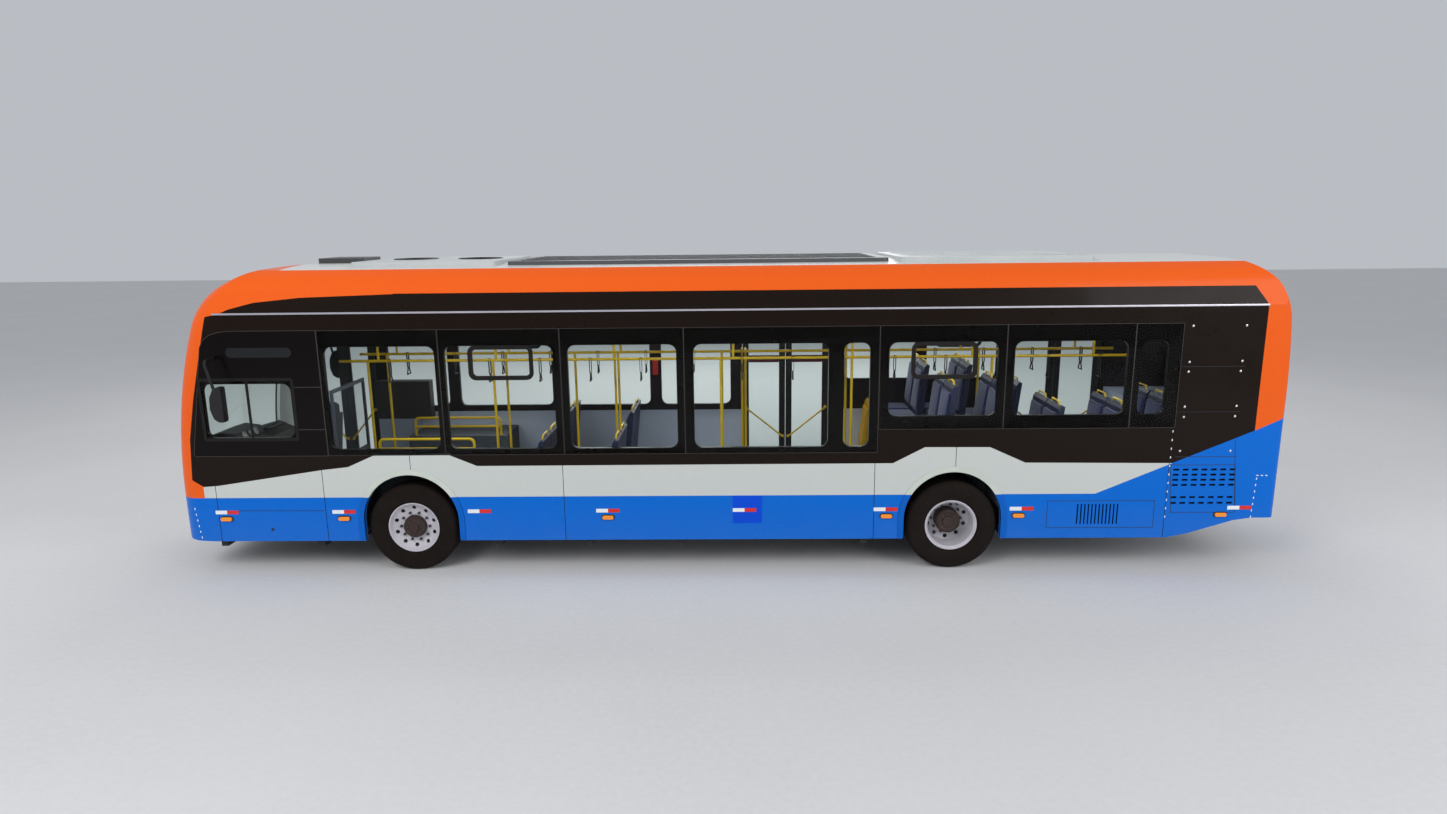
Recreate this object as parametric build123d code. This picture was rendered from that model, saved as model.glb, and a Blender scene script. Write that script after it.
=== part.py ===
from build123d import *
import os

# Low-entry city bus in mm: +X forward, +Y to the driver's side, +Z up, origin on the ground at mid-length

# Main sizes
FRONT_OVERHANG = 2728.0
WHEELBASE = 6242.0
REAR_OVERHANG = 3660.0
WIDTH = 2550.0
ROOF_Z = 3545.0          # crown of the roof
TYRE_R = 522.0
BIG = 20000.0            # longer than the bus, for cuts that go right through

# Shell
WALL = 60.0              # whole wall, roof, front and rear thickness
GUTTER_DROP = 510.0      # crown of the roof to the top of the side walls
COVE_DROP = 305.0        # crown to where the lean of the cove turns into its arc
CAMBER = 45.0            # crown to where the cove meets the roof
COVE_IN = 53.0           # lean of the cove below its arc
ROOF_EDGE_IN = 275.0     # side face to where the cove meets the roof
SKIRT_Z = 380.0          # lower edge of the skirts
SILL_Z = 900.0           # joint of the skirts and the walls
BUMPER_Z = 880.0         # joint of the bumper and the front end
FRONT_END = 395.0        # nose to the joint of the front end and the walls
REAR_END = 695.0         # tail to the joint of the rear end and the walls
FRONT_CORNER_R = 250.0
REAR_CORNER_R = 90.0
# Side view of the ends: top of the upright part, then joints of tangent arcs as setback and drop below the crown
NOSE_UPRIGHT_Z = 900.0
NOSE_ARCS = [(325.0, 675.0), (715.0, 205.0)]
TAIL_UPRIGHT_Z = 2000.0
TAIL_ARCS = [(40.0, 675.0)]
# Underside of the ends: distance from the end, height
CHIN = [(365.0, SKIRT_Z), (65.0, 400.0), (0.0, 475.0)]
TAIL_BELLY = [(1219.0, SKIRT_Z), (975.0, 430.0), (475.0, 584.0), (275.0, 613.0)]

# Wheels
TYRE_WIDTH = 295.0
TREAD_HALF = 112.0
BEAD_R = 287.0
BEAD_HALF = 100.0
SIDEWALL = 110.0         # bead to the tyre's widest place
SHOULDER = 38.0          # tread to the top of the sidewall
SHOULDER_IN = 6.0
TRACK_IN = 170.0         # side face to the middle of the outer tyres
TWIN_PITCH = 330.0
FLANGE_R = 298.0
FLANGE_HALF = 120.0
FLANGE_LIP = 13.0
BARREL_R = 262.0
BARREL_HALF = 105.0
HUB_R = 105.0
HUB_BACK = 60.0
HUB_END = 110.0
HUB_EDGE = 20.0
DISC_R = 150.0
DISC_FOOT = (40.0, 56.0)     # back and face of the front disc where it leaves the hub
DISC_EDGE = (62.0, 82.0)     # back and face of the front disc at the barrel
REAR_HUB_R = 130.0
REAR_HUB_BACK = 90.0
REAR_HUB_END = 150.0
REAR_HUB_EDGE = 25.0
REAR_DISC_FOOT = 15.0
REAR_DISC_EDGE = 25.0
SPACER_R = 278.0
SPACER_GAP = 5.0
HAND_HOLES = range(0, 360, 36)
HAND_HOLE_R = 30.0
HAND_HOLE_AT = 205.0
HUB_WALL = 40.0          # closed end of the front hub's bore
REAR_HUB_WALL = 60.0
RUNNING_GAP = 0.05
SEAT_GAP = 0.3

# Axles and springs
STUB_R = 45.0
KINGPIN_IN = 175.0       # middle of the front tyre to the kingpin
KINGPIN_R = 28.0
BEAM_HALF_X = 60.0
BEAM_LOW_Z = 200.0
BEAM_T = 100.0
BEAM_UNDER = (320.0, 120.0)  # kingpin to the foot and top of the beam's slope, along its underside
BEAM_OVER = (350.0, 160.0)   # and along its upper side
BOSS_R = 52.0
BOSS_HALF = 75.0
LUG_T = 45.0
LUG_R = 50.0
FORK_AT = 62.0           # kingpin to the fork's plate
FORK_T = 28.0
FORK_HALF_X = 75.0
AXLE_TUBE_R = 85.0
AXLE_TUBE_IN = 195.0     # middle of the inner rear tyre to the end of the axle tube
HOUSING_GAP = 8.0        # top of the motor housing to the floor
SPRING_R = 90.0
SPRING_IN = 350.0        # middle of the inner rear tyre to the air springs
SPRING_X = 300.0
SADDLE_HALF_X = 420.0
SADDLE_W = 90.0
SADDLE_LOW = 60.0
SADDLE_TOP = 20.0

# Wheel arches, floors and wheel boxes
ARCH_GAP = 34.0          # tyre to arch
ARCH_RISE = 96.0         # centre of the arch's round top above the axle
FLOOR_Z = 400.0
FLOOR_T = 40.0
REAR_FLOOR_Z = 760.0
RISER_AHEAD = 905.0      # rear axle to the step up in the floor
REAR_BAY = 1015.0        # tail to the end of the rear floor
STEP_Z = 470.0
WELL_DEPTH = 640.0
STEP_TREAD = 200.0
BOX_T = 25.0
BOX_RISE = 146.0         # tyre to the top of the wheel boxes
FRONT_BOX_GAP = 138.0    # tyre to the ends of the front wheel boxes
REAR_BOX_GAP = 53.0
FRONT_BOX_IN = 565.0     # middle of the front tyre to the inner face of its box
REAR_BOX_IN = 190.0      # middle of the inner rear tyre to the inner face of its box

# Side glass: heights above the window line as shares of the way up to the gutter
WINDOW_LINE_Z = 1405.0
PANE_T = 8.0
PANE_JOINT = 4.0
WINDOW_R = 90.0
PANE_TOP_SHARE = 0.8834
WINDOW_TOP_SHARE = 0.7669
WINDOW_LOW_SHARE = 0.0429
RAISED_PANE_SHARE = 0.1626
RAISED_WINDOW_SHARE = 0.2564
DRIVER_PANE_SHARES = (0.1104, 0.5583)
DRIVER_WINDOW_SHARES = (0.1325, 0.5153)
DRIVER_PANE_END = 30.0   # driver's pane to the front seam
DRIVER_WINDOW_IN = (50.0, 40.0)
# Joints between the left panes: ahead of the axles and the rear seam, and as shares of the wheelbase
LEFT_BY_FRONT_AXLE = (893.0, -457.0)
LEFT_BY_WHEELBASE = (0.7086, 0.4877)
LEFT_BY_REAR_AXLE = (873.0, -522.0)
LEFT_BY_REAR_SEAM = (1045.0, 532.0)
# Insets of each clear opening from the joints behind and ahead of it, front to back
LEFT_INSETS = [(50.0, 50.0), (82.0, 60.0), (85.0, 80.0), (562.0, 106.0), (87.0, 108.0), (65.0, 93.0), (138.0, 75.0)]
LEFT_RAISED_FROM = 4     # bays from here on have the raised sill
SLIM_WINDOW = (102.0, 392.0)     # second opening in the last low bay, from the joint behind it
RIGHT_BY_DOORS = (100.0, 70.0, 110.0, 70.0)      # pane ends behind or ahead of the doors, front to back
RIGHT_BY_FRONT_AXLE = 213.0
RIGHT_BY_REAR_AXLE = -95.0
RIGHT_SHARES = (0.6307, 0.2839)
RIGHT_INSET = 80.0
SKIRT_GAP = 4.0
SKIRT_FRONT = 80.0       # first skirt joint behind the front seam
SKIRT_CAB_SHARE = 0.199
SKIRT_MIDDLE_SHARE = 0.7137
SKIRT_BY_REAR_AXLE = 898.0
SKIRT_BY_REAR_SEAM = 557.0

# Doors
DOOR_TOP_SHARE = 0.7086
FRONT_DOOR_GAP = 120.0   # front door to the front seam
MIDDLE_DOOR_GAP = 260.0  # step up in the floor to the middle door
MIDDLE_DOOR_W = 1240.0
REAR_DOOR_GAP = 720.0    # rear wheel box to the rear door
REAR_DOOR_END = 50.0     # rear door to the end of the rear floor
LEAF_T = 45.0
LEAF_SET = 5.0           # leaf face behind the wall's face
LEAF_GAP = 8.0
LEAF_LIFT = 12.0         # leaf above the floor
LEAF_FRAME = 70.0
LEAF_GLASS_R = 60.0
PIVOT_R = 14.0

# Front and rear fittings
SCREEN_IN = 255.0        # side face to the edge of the windscreen
SCREEN_LOW_Z = 1150.0
SCREEN_TOP_GAP = 55.0    # windscreen to the gutter's height
SCREEN_R = 120.0
SCREEN_SET = 8.0
SCREEN_T = 10.0
SCREEN_REACH = 300.0     # how far the opening's cut goes behind the front seam
GLASS_GAP = 0.5
LAMP_T = 40.0
LAMP_EDGE_R = 40.0
HEADLAMP = (370.0, 690.0, 300.0, 170.0)      # side face to middle, z, width, height
TAIL_LAMP = (155.0, 1330.0, 120.0, 620.0)
REAR_GLASS_IN = 375.0
REAR_GLASS_SHARES = (0.3405, 0.8313)
LID_IN = 375.0
LID_LOW_Z = 720.0
LID_TOP_Z = 1640.0
LID_T = 40.0
LID_GAP = 6.0
LID_LIP = 30.0
WIPER_Z = 1290.0
WIPER_T = 14.0
WIPER_W = 28.0
WIPER_SHORT = 180.0      # wiper shorter than half the windscreen
WIPER_IN = 60.0
WIPER_APART = 100.0
WIPER_FOOT_W = 45.0
WIPER_FOOT = 90.0
SIGN_BACK = 280.0        # destination display behind the front seam
SIGN_IN = 395.0
SIGN_LOW_SHARE = 0.7577
SIGN_TOP_GAP = 15.0
MIRROR_OUT = 175.0
MIRROR_T = 100.0
MIRROR_BACK = (420.0, 210.0)     # behind the front seam
MIRROR_SHARES = (0.2577, 0.5337)
MIRROR_EDGE_R = 35.0
ARM_R = 16.0
ARM_BEND = 60.0
ARM_BACK = 250.0
ARM_SHARE = 0.7331
ARM_SWEEP = 40.0
ARM_SINK = 60.0
MARKER_Z = 655.0
MARKER_W = 130.0
MARKER_H = 44.0
MARKER_T = 22.0
MARKER_EDGE_R = 20.0
MARKER_FRONT = 170.0     # first marker lamp behind the front seam
MARKER_CAB = 123.0       # second one ahead of the front wheel box
MARKER_SHARE = 0.6336
MARKER_BY_REAR_AXLE = (755.0, -750.0)
MARKER_REAR = 70.0       # last one behind the rear seam

# Grilles: pressed slots
SLOT_DEPTH = 30.0
SKIRT_SLOTS = 12
SKIRT_SLOT_W = 16.0
SKIRT_SLOT_PITCH = 41.0
SKIRT_SLOT_Z = (545.0, 785.0)
SKIRT_SLOT_BACK = 1420.0     # rear axle to the first slot
LOUVRE_W = 66.0
LOUVRE_H = 24.0
LOUVRE_PITCH = 105.0
LOUVRE_ROWS = [792.0, 860.0, 1005.0, 1065.0, 1125.0, 1185.0]
LOUVRE_AHEAD = (2, 5)        # columns behind and ahead of the rear seam
LID_SLOT_DEPTH = 15.0
LID_SLOT_W = 620.0
LID_SLOT_H = 26.0
LID_SLOT_Y = 400.0
LID_SLOT_ROWS = [1000.0 + 62.0 * row for row in range(8)]
BUMPER_SLOT_W = 230.0
BUMPER_SLOT_H = 26.0
BUMPER_SLOT_Y = [-390.0, -130.0, 130.0, 390.0]
BUMPER_SLOT_ROWS = [640.0, 690.0, 740.0]

# Chassis
RAIL_GAP = 5.0           # rails to the air springs
RAIL_W = 80.0
RAIL_H = 60.0
RAIL_FRONT = 140.0       # rails ahead of the front seam
RAIL_REAR = 135.0        # tail to the rails
CROSS_W = 80.0
CROSS_FRONT = 70.0       # first cross member behind the front seam
CROSS_CAB = 453.0        # second one ahead of the front wheel boxes
CROSS_BACK = 327.0       # third one behind the front wheel boxes
CROSS_RISER = 100.0      # last one ahead of the step up
CROSS_SHARES = (0.25, 0.5, 0.75)     # the ones between, along the low floor
REAR_CROSS_BACK = 370.0
REAR_CROSS_END = 40.0
TOW_R = 21.0
TOW_OUT_R = 30.0
TOW_LENGTH = 130.0
JACK_IN = 175.0
JACK_W = 120.0
JACK_T = 15.0
SHELF_Z = 1660.0
BULKHEAD_T = 20.0
POWER_REAR = 165.0       # tail to the power unit
POWER_FORE = 50.0        # power unit to the end of the rear floor
POWER_SIDE = 325.0
POWER_UNDER = 60.0       # power unit's top under the shelf

# Cab: places along the bus as shares of the way from the front wheel box to the front seam
DRIVER_SHARE = 0.3903
WHEEL_SHARE = 0.6892
DRIVER_PANE_SHARE = 0.3246
DRIVER_IN = 475.0        # inner wall to the driver's middle
CAB_WIDTH = 885.0
CAB_Z = 620.0
CAB_AHEAD = 50.0         # platform ahead of the partition
PARTITION_AHEAD = 153.0
PARTITION_T = 25.0
PARTITION_SHARE = 0.4571
DASH_OVER = 150.0        # dashboard past the middle of the bus
DASH_REACH = 140.0       # dashboard ahead of the front seam
DASH_FRONT_Z = 1440.0
DASH = [(380.0, 1520.0), (180.0, 1430.0), (110.0, 1310.0), (220.0, 1150.0)]     # ahead of the wheel, height
WHEEL_Z = 1400.0
WHEEL_R = 225.0
WHEEL_TUBE_R = 17.0
WHEEL_HUB_R = 50.0
WHEEL_HUB_T = 40.0
SPOKE_W = 34.0
SPOKE_T = 14.0
WHEEL_TILT = 27.0        # axis from upright, leaning back
COLUMN_R = 22.0
COLUMN_LENGTH = 520.0
SHROUD_R = 45.0
SHROUD_BELOW = 30.0      # wheel's middle to the shroud

# Seats
SEAT_SIDE = [(225.0, 400.0), (238.0, 455.0), (-140.0, 445.0), (-215.0, 1110.0), (-245.0, 1150.0), (-285.0, 1140.0),
             (-205.0, 400.0)]
SEAT_W = 430.0
SEAT_PITCH = 450.0
SEAT_WALL_GAP = 15.0
BOX_SEAT_SINK = 190.0    # seats on the rear boxes sit lower over their base
SEAT_BACK = 627.0        # first row behind the front wheel box
ROW_PITCH = 850.0
REAR_SEAT_BACK = 370.0   # first rear row behind the rear wheel box
REAR_ROW_PITCH = 700.0
REAR_ROW_END = 300.0     # last rear row to the end of the rear floor, at least
BOX_ROWS = (255.0, -295.0)   # rows on the rear boxes, ahead of the axle
STEP_SEAT_BACK = 20.0    # single seat behind the step up
MIDDLE_SEAT_Y = 60.0
STAND_HALF_X = 180.0
STAND_IN = 60.0
STAND_T = 40.0
FOOT_HALF = 60.0
DRIVER_BASE_HALF = 150.0

# Handrails
HANDRAIL_R = 17.0
HANGER_R = 15.0
POST_R = 16.0
OVERHEAD_IN = 915.0      # inner wall to the overhead rails
OVERHEAD_SHARE = 0.5798
OVERHEAD_ENDS = (300.0, 453.0)   # ahead of the rear floor's end, ahead of the front wheel box
HANGER_SHARES = [0.05 + 0.15 * place for place in range(7)]
POST_BY_FRONT_BOX = (-1027.0, -127.0)
POST_AHEAD_OF_BOX = 103.0
POST_BY_RISER = 150.0
POST_BY_DOOR = 250.0
POST_BEHIND_BOX = 70.0
GUARD_IN = 60.0
GUARD_END = 80.0
GUARD_RISE = 240.0
GUARD_BEND = 60.0

# Roof units: start and end as shares of the length from the tail, inset from the roof's edge, rise over the crown
ROOF_UNITS = [
    (0.8405, 0.8840, 700.0, 55.0),
    (0.7003, 0.8325, 120.0, 27.0),
    (0.3464, 0.6924, 220.0, 17.0),
    (0.1651, 0.3385, 120.0, 27.0),
]
ROOF_UNIT_R = 60.0

# Places that follow from the sizes
length = FRONT_OVERHANG + WHEELBASE + REAR_OVERHANG
nose_x = length / 2
tail_x = -length / 2
rear_axle_x = tail_x + REAR_OVERHANG
front_axle_x = rear_axle_x + WHEELBASE
front_seam_x = nose_x - FRONT_END
rear_seam_x = tail_x + REAR_END
between_seams = (rear_seam_x, front_seam_x)
half_width = WIDTH / 2
inner_y = half_width - WALL
track_y = half_width - TRACK_IN
twin_y = track_y - TWIN_PITCH
kingpin_y = track_y - KINGPIN_IN
gutter_z = ROOF_Z - GUTTER_DROP
cove_z = ROOF_Z - COVE_DROP
roof_edge_z = ROOF_Z - CAMBER
cove_y = half_width - COVE_IN
roof_edge_y = half_width - ROOF_EDGE_IN
arch_r = TYRE_R + ARCH_GAP
arch_z = TYRE_R + ARCH_RISE
box_top_z = 2 * TYRE_R + BOX_RISE
front_box_half = TYRE_R + FRONT_BOX_GAP
rear_box_half = TYRE_R + REAR_BOX_GAP
front_box_x0, front_box_x1 = front_axle_x - front_box_half, front_axle_x + front_box_half
rear_box_x0, rear_box_x1 = rear_axle_x - rear_box_half, rear_axle_x + rear_box_half
front_box_y = track_y - FRONT_BOX_IN
rear_box_y = twin_y - REAR_BOX_IN
riser_x = rear_axle_x + RISER_AHEAD
rear_floor_end_x = tail_x + REAR_BAY


def along(share, x0, x1):
    return x0 + share * (x1 - x0)


def up(share):
    # Height above the window line
    return along(share, WINDOW_LINE_Z, gutter_z)


def in_cab(share):
    return along(share, front_box_x1, front_seam_x)


def by_wheelbase(share):
    return along(share, rear_axle_x, front_axle_x)


# Doors on the right side as name, x0, x1 of the opening and floor height inside
middle_door_x0 = riser_x + MIDDLE_DOOR_GAP
doors = [
    ("front_door", in_cab(DRIVER_SHARE), front_seam_x - FRONT_DOOR_GAP, FLOOR_Z),
    ("middle_door", middle_door_x0, middle_door_x0 + MIDDLE_DOOR_W, FLOOR_Z),
    ("rear_door", rear_floor_end_x + REAR_DOOR_END, rear_box_x0 - REAR_DOOR_GAP, STEP_Z),
]
door_top_z = up(DOOR_TOP_SHARE)

# Joints of the panes from front to back, then each clear opening as its insets from the joints round it
pane_top_z, window_top_z = up(PANE_TOP_SHARE), up(WINDOW_TOP_SHARE)
low = (WINDOW_LINE_Z, up(WINDOW_LOW_SHARE))
raised = (up(RAISED_PANE_SHARE), up(RAISED_WINDOW_SHARE))
left_joints = [front_axle_x + fore for fore in LEFT_BY_FRONT_AXLE]
left_joints += [by_wheelbase(share) for share in LEFT_BY_WHEELBASE]
left_joints += [rear_axle_x + fore for fore in LEFT_BY_REAR_AXLE]
left_joints += [rear_seam_x + fore for fore in LEFT_BY_REAR_SEAM]
left_bays = [(low if place < LEFT_RAISED_FROM else raised, *insets) for place, insets in enumerate(LEFT_INSETS)]
ahead_of_middle_door = doors[1][2] + RIGHT_BY_DOORS[1]
by_front_axle = front_axle_x + RIGHT_BY_FRONT_AXLE
front_joints = [doors[0][1] - RIGHT_BY_DOORS[0], by_front_axle,
                *[along(t, ahead_of_middle_door, by_front_axle) for t in RIGHT_SHARES], ahead_of_middle_door]
rear_joints = [doors[1][1] - RIGHT_BY_DOORS[2], rear_axle_x + RIGHT_BY_REAR_AXLE, doors[2][2] + RIGHT_BY_DOORS[3]]


def bays(joints, table):
    # Panes and clear openings as x0, x1, z0, z1
    panes, windows = [], []
    for x1, x0, (heights, back, front) in zip(joints, joints[1:], table):
        panes.append((x0, x1, heights[0], pane_top_z))
        windows.append((x0 + back, x1 - front, heights[1], window_top_z))
    return panes, windows


left_panes, left_windows = bays(left_joints, left_bays)
left_windows.append((*[left_joints[LEFT_RAISED_FROM] + fore for fore in SLIM_WINDOW], low[1], window_top_z))
driver_x0, driver_x1 = in_cab(DRIVER_PANE_SHARE), front_seam_x - DRIVER_PANE_END
left_panes.append((driver_x0, driver_x1, *[up(share) for share in DRIVER_PANE_SHARES]))
left_windows.append((driver_x0 + DRIVER_WINDOW_IN[0], driver_x1 - DRIVER_WINDOW_IN[1],
                     *[up(share) for share in DRIVER_WINDOW_SHARES]))
right_panes, right_windows = bays(front_joints, [(low, RIGHT_INSET, RIGHT_INSET)] * 4)
rear_panes, rear_windows = bays(rear_joints, [(raised, RIGHT_INSET, RIGHT_INSET)] * 2)
right_panes += rear_panes
right_windows += rear_windows
skirt_seams = [front_seam_x - SKIRT_FRONT, in_cab(SKIRT_CAB_SHARE), by_wheelbase(SKIRT_MIDDLE_SHARE),
               rear_axle_x + SKIRT_BY_REAR_AXLE, rear_seam_x + SKIRT_BY_REAR_SEAM]
marker_xs = [front_seam_x - MARKER_FRONT, front_box_x1 + MARKER_CAB, by_wheelbase(MARKER_SHARE),
             *[rear_axle_x + fore for fore in MARKER_BY_REAR_AXLE], rear_seam_x - MARKER_REAR]

os.makedirs("parts", exist_ok=True)


def save(node, shape):
    export_step(shape, f"parts/{node}.step")


def block(x0, x1, y0, y1, z0, z1):
    return Pos((x0 + x1) / 2, (y0 + y1) / 2, (z0 + z1) / 2) * Box(x1 - x0, y1 - y0, z1 - z0)


def sided(side, x0, x1, y0, y1, z0, z1):
    # A block on the left (side 1) or right (side -1), with y counted outwards
    return block(x0, x1, min(side * y0, side * y1), max(side * y0, side * y1), z0, z1)


def rod(radius, height):
    # A cylinder standing on its origin
    return Cylinder(radius, height, align=(Align.CENTER, Align.CENTER, Align.MIN))


def drop(radius, depth):
    # A cylinder hanging from its origin
    return Cylinder(radius, depth, align=(Align.CENTER, Align.CENTER, Align.MAX))


def end_outline(upright_z, arcs, inset):
    # Half side view of one end, u inwards from the end and v up, closed at mid-length
    tangent = Vector(0, 1)
    edges = [Line((inset, 0), (inset, upright_z))]
    here = Vector(inset, upright_z)
    true_here = Vector(0, upright_z)
    for u, fall in arcs:
        v = ROOF_Z - fall
        turned = TangentArc(true_here, (u, v), tangent=tangent) % 1
        there = Vector(u + inset * turned.Y, v - inset * turned.X)
        edges.append(TangentArc(here, there, tangent=tangent))
        tangent, here, true_here = turned, there, Vector(u, v)
    radius = (ROOF_Z - true_here.Y) / (1 - tangent.X)
    roof_end = Vector(true_here.X + radius * tangent.Y, ROOF_Z - inset)
    edges.append(TangentArc(here, roof_end, tangent=tangent))
    edges.append(Polyline(roof_end, (nose_x, ROOF_Z - inset), (nose_x, 0), (inset, 0)))
    return make_face(edges)


def end_prism(upright_z, arcs, inset, corner_r, plane):
    half = half_width - inset
    prism = extrude(plane * end_outline(upright_z, arcs, inset), half, both=True)
    corners = [e for e in prism.edges()
               if abs(abs(e.center().Y) - half) < 1 and e.center().Z > 1 and abs(e.center().X) > 1]
    return fillet(corners, corner_r - inset)


def section_face():
    lean = Line((half_width, gutter_z), (cove_y, cove_z))
    cove = TangentArc((cove_y, cove_z), (roof_edge_y, roof_edge_z), tangent=lean % 1)
    roof = ThreePointArc((roof_edge_y, roof_edge_z), (0, ROOF_Z), (-roof_edge_y, roof_edge_z))
    left = [mirror(edge, Plane.YZ) for edge in (lean, cove)]
    base = Polyline((-half_width, gutter_z), (-half_width, -WALL), (half_width, -WALL), (half_width, gutter_z))
    return make_face([lean, cove, roof] + left + [base])


def hull(inset):
    section = section_face()
    if inset:
        section = offset(section, -inset, kind=Kind.INTERSECTION)
    barrel = extrude(Plane.YZ * section, length, both=True)
    front = end_prism(NOSE_UPRIGHT_Z, NOSE_ARCS, inset, FRONT_CORNER_R, Plane((nose_x, 0, 0), (-1, 0, 0), (0, 1, 0)))
    rear = end_prism(TAIL_UPRIGHT_Z, TAIL_ARCS, inset, REAR_CORNER_R, Plane((tail_x, 0, 0), (1, 0, 0), (0, -1, 0)))
    return (front & barrel) + (rear & barrel)


def belly():
    # What lies under the bus: the ground side of the chin, the skirts and the tail
    points = [(tail_x - WALL, -WALL), (nose_x + WALL, -WALL), (nose_x + WALL, CHIN[-1][1])]
    points += [(nose_x - back, z) for back, z in CHIN[::-1]]
    points += [(tail_x + ahead, z) for ahead, z in TAIL_BELLY]
    points.append((tail_x - WALL, TAIL_BELLY[-1][1]))
    return extrude(Plane.XZ * make_face(Polyline(*points, close=True)), WIDTH, both=True)


def arch(axle_x):
    face = Rectangle(2 * arch_r, 2 * arch_z) + Pos(0, arch_z) * Circle(arch_r)
    return extrude(Plane((axle_x, 0, 0), (1, 0, 0), (0, -1, 0)) * face, WIDTH, both=True)


def pane_prism(side, x0, x1, z0, z1, radius, y0, y1):
    face = Pos((x0 + x1) / 2, (z0 + z1) / 2) * RectangleRounded(x1 - x0, z1 - z0, radius)
    plate = extrude(Plane.XZ * face, -(y1 - y0))
    return Pos(0, y0, 0) * plate if side > 0 else Pos(0, -y1, 0) * plate


outer = hull(0)
inner = hull(WALL)
shell = outer - inner - belly()
arches = arch(front_axle_x) + arch(rear_axle_x)


def louvres(side, xs, z0, z1):
    # Slots of the rear grid that lie within the heights of one panel
    rows = [z for z in LOUVRE_ROWS if z0 < z < z1]
    return [sided(side, x - LOUVRE_W / 2, x + LOUVRE_W / 2, half_width - SLOT_DEPTH, WIDTH,
                  z - LOUVRE_H / 2, z + LOUVRE_H / 2) for x in xs for z in rows]


behind, ahead = LOUVRE_AHEAD
louvre_xs = [rear_seam_x + LOUVRE_PITCH * (place + 0.5) for place in range(-behind, ahead)]
wall_louvre_xs = {1: [x for x in louvre_xs if x > rear_seam_x], -1: []}


def wall(side, panes, windows, openings):
    plate = shell & sided(side, *between_seams, roof_edge_y, WIDTH, SILL_Z, gutter_z)
    plate -= arches
    for x0, x1, z0, z1 in panes:
        plate -= sided(side, x0, x1, half_width - PANE_T, WIDTH, z0, z1)
    for x0, x1, z0, z1 in windows:
        plate -= pane_prism(side, x0, x1, z0, z1, WINDOW_R, half_width - 2 * WALL, half_width + WALL)
    for _, x0, x1, _ in openings:
        plate -= sided(side, x0, x1, 0, WIDTH, 0, door_top_z)
    for slot in louvres(side, wall_louvre_xs[side], SILL_Z, gutter_z):
        plate -= slot
    return plate


def skirts(side, openings):
    plate = shell & sided(side, *between_seams, 0, WIDTH, 0, SILL_Z)
    plate -= arches
    for x in skirt_seams:
        plate -= block(x - SKIRT_GAP / 2, x + SKIRT_GAP / 2, -WIDTH, WIDTH, 0, SILL_Z)
    for _, x0, x1, _ in openings:
        plate -= sided(side, x0, x1, 0, WIDTH, 0, door_top_z)
    for slot in louvres(side, wall_louvre_xs[side], 0, SILL_Z):
        plate -= slot
    return plate


def glazing(side, table):
    gap = PANE_JOINT / 2
    return Compound(children=[
        sided(side, x0 + gap, x1 - gap, half_width - PANE_T, half_width, z0 + gap, z1 - gap)
        for x0, x1, z0, z1 in table])


save("left_wall", wall(1, left_panes, left_windows, []))
save("right_wall", wall(-1, right_panes, right_windows, doors))
left_skirts = skirts(1, [])
for place in range(SKIRT_SLOTS):
    x = rear_axle_x - SKIRT_SLOT_BACK - SKIRT_SLOT_PITCH * place
    left_skirts -= block(x - SKIRT_SLOT_W / 2, x + SKIRT_SLOT_W / 2, half_width - SLOT_DEPTH, WIDTH, *SKIRT_SLOT_Z)
save("left_skirts", left_skirts)
save("right_skirts", skirts(-1, doors))
save("left_glass", glazing(1, left_panes))
save("right_glass", glazing(-1, right_panes))
save("roof_shell", shell & block(*between_seams, -WIDTH, WIDTH, gutter_z, BIG))
markers = [(1, x) for x in marker_xs]
markers += [(-1, x) for x in marker_xs if not any(x0 - MARKER_W < x < x1 + MARKER_W for _, x0, x1, _ in doors)]
save("side_markers", Compound(children=[
    pane_prism(side, x - MARKER_W / 2, x + MARKER_W / 2, MARKER_Z - MARKER_H / 2, MARKER_Z + MARKER_H / 2,
               MARKER_EDGE_R, half_width, half_width + MARKER_T) for side, x in markers]))


def facing(y, z, width, height, radius, x0, x1):
    # A rounded prism along X with its middle at y, z
    face = Pos(y, z) * RectangleRounded(width, height, radius)
    return Pos(x0, 0, 0) * extrude(Plane.YZ * face, x1 - x0)


def lamps(spec, x0, x1, grow):
    inwards, z, width, height = spec
    return [facing(side * (half_width - inwards), z, width + 2 * grow, height + 2 * grow, LAMP_EDGE_R, x0, x1)
            for side in (1, -1)]


screen_half = half_width - SCREEN_IN
screen_top_z = gutter_z - SCREEN_TOP_GAP
screen_z = (SCREEN_LOW_Z + screen_top_z) / 2
screen_high = screen_top_z - SCREEN_LOW_Z
screen_hole = facing(0, screen_z, 2 * screen_half, screen_high, SCREEN_R, front_seam_x - SCREEN_REACH, BIG)
front_zone = block(front_seam_x, BIG, -WIDTH, WIDTH, BUMPER_Z, BIG)
front_zone += block(0, BIG, -roof_edge_y, roof_edge_y, BUMPER_Z, gutter_z)
save("front_end", (shell & front_zone) - screen_hole)
screen_plug = facing(0, screen_z, 2 * (screen_half - GLASS_GAP), screen_high - 2 * GLASS_GAP, SCREEN_R,
                     front_seam_x, BIG)
save("windscreen", (hull(SCREEN_SET) & screen_plug) - hull(SCREEN_SET + SCREEN_T))
lamp_shell = outer - hull(LAMP_T)
bumper = shell & block(front_seam_x, BIG, -WIDTH, WIDTH, 0, BUMPER_Z)
for hole in lamps(HEADLAMP, front_seam_x, BIG, 0):
    bumper -= hole
for y in BUMPER_SLOT_Y:
    for z in BUMPER_SLOT_ROWS:
        bumper -= block(nose_x - SLOT_DEPTH, BIG, y - BUMPER_SLOT_W / 2, y + BUMPER_SLOT_W / 2,
                        z - BUMPER_SLOT_H / 2, z + BUMPER_SLOT_H / 2)
save("front_bumper", bumper)
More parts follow.
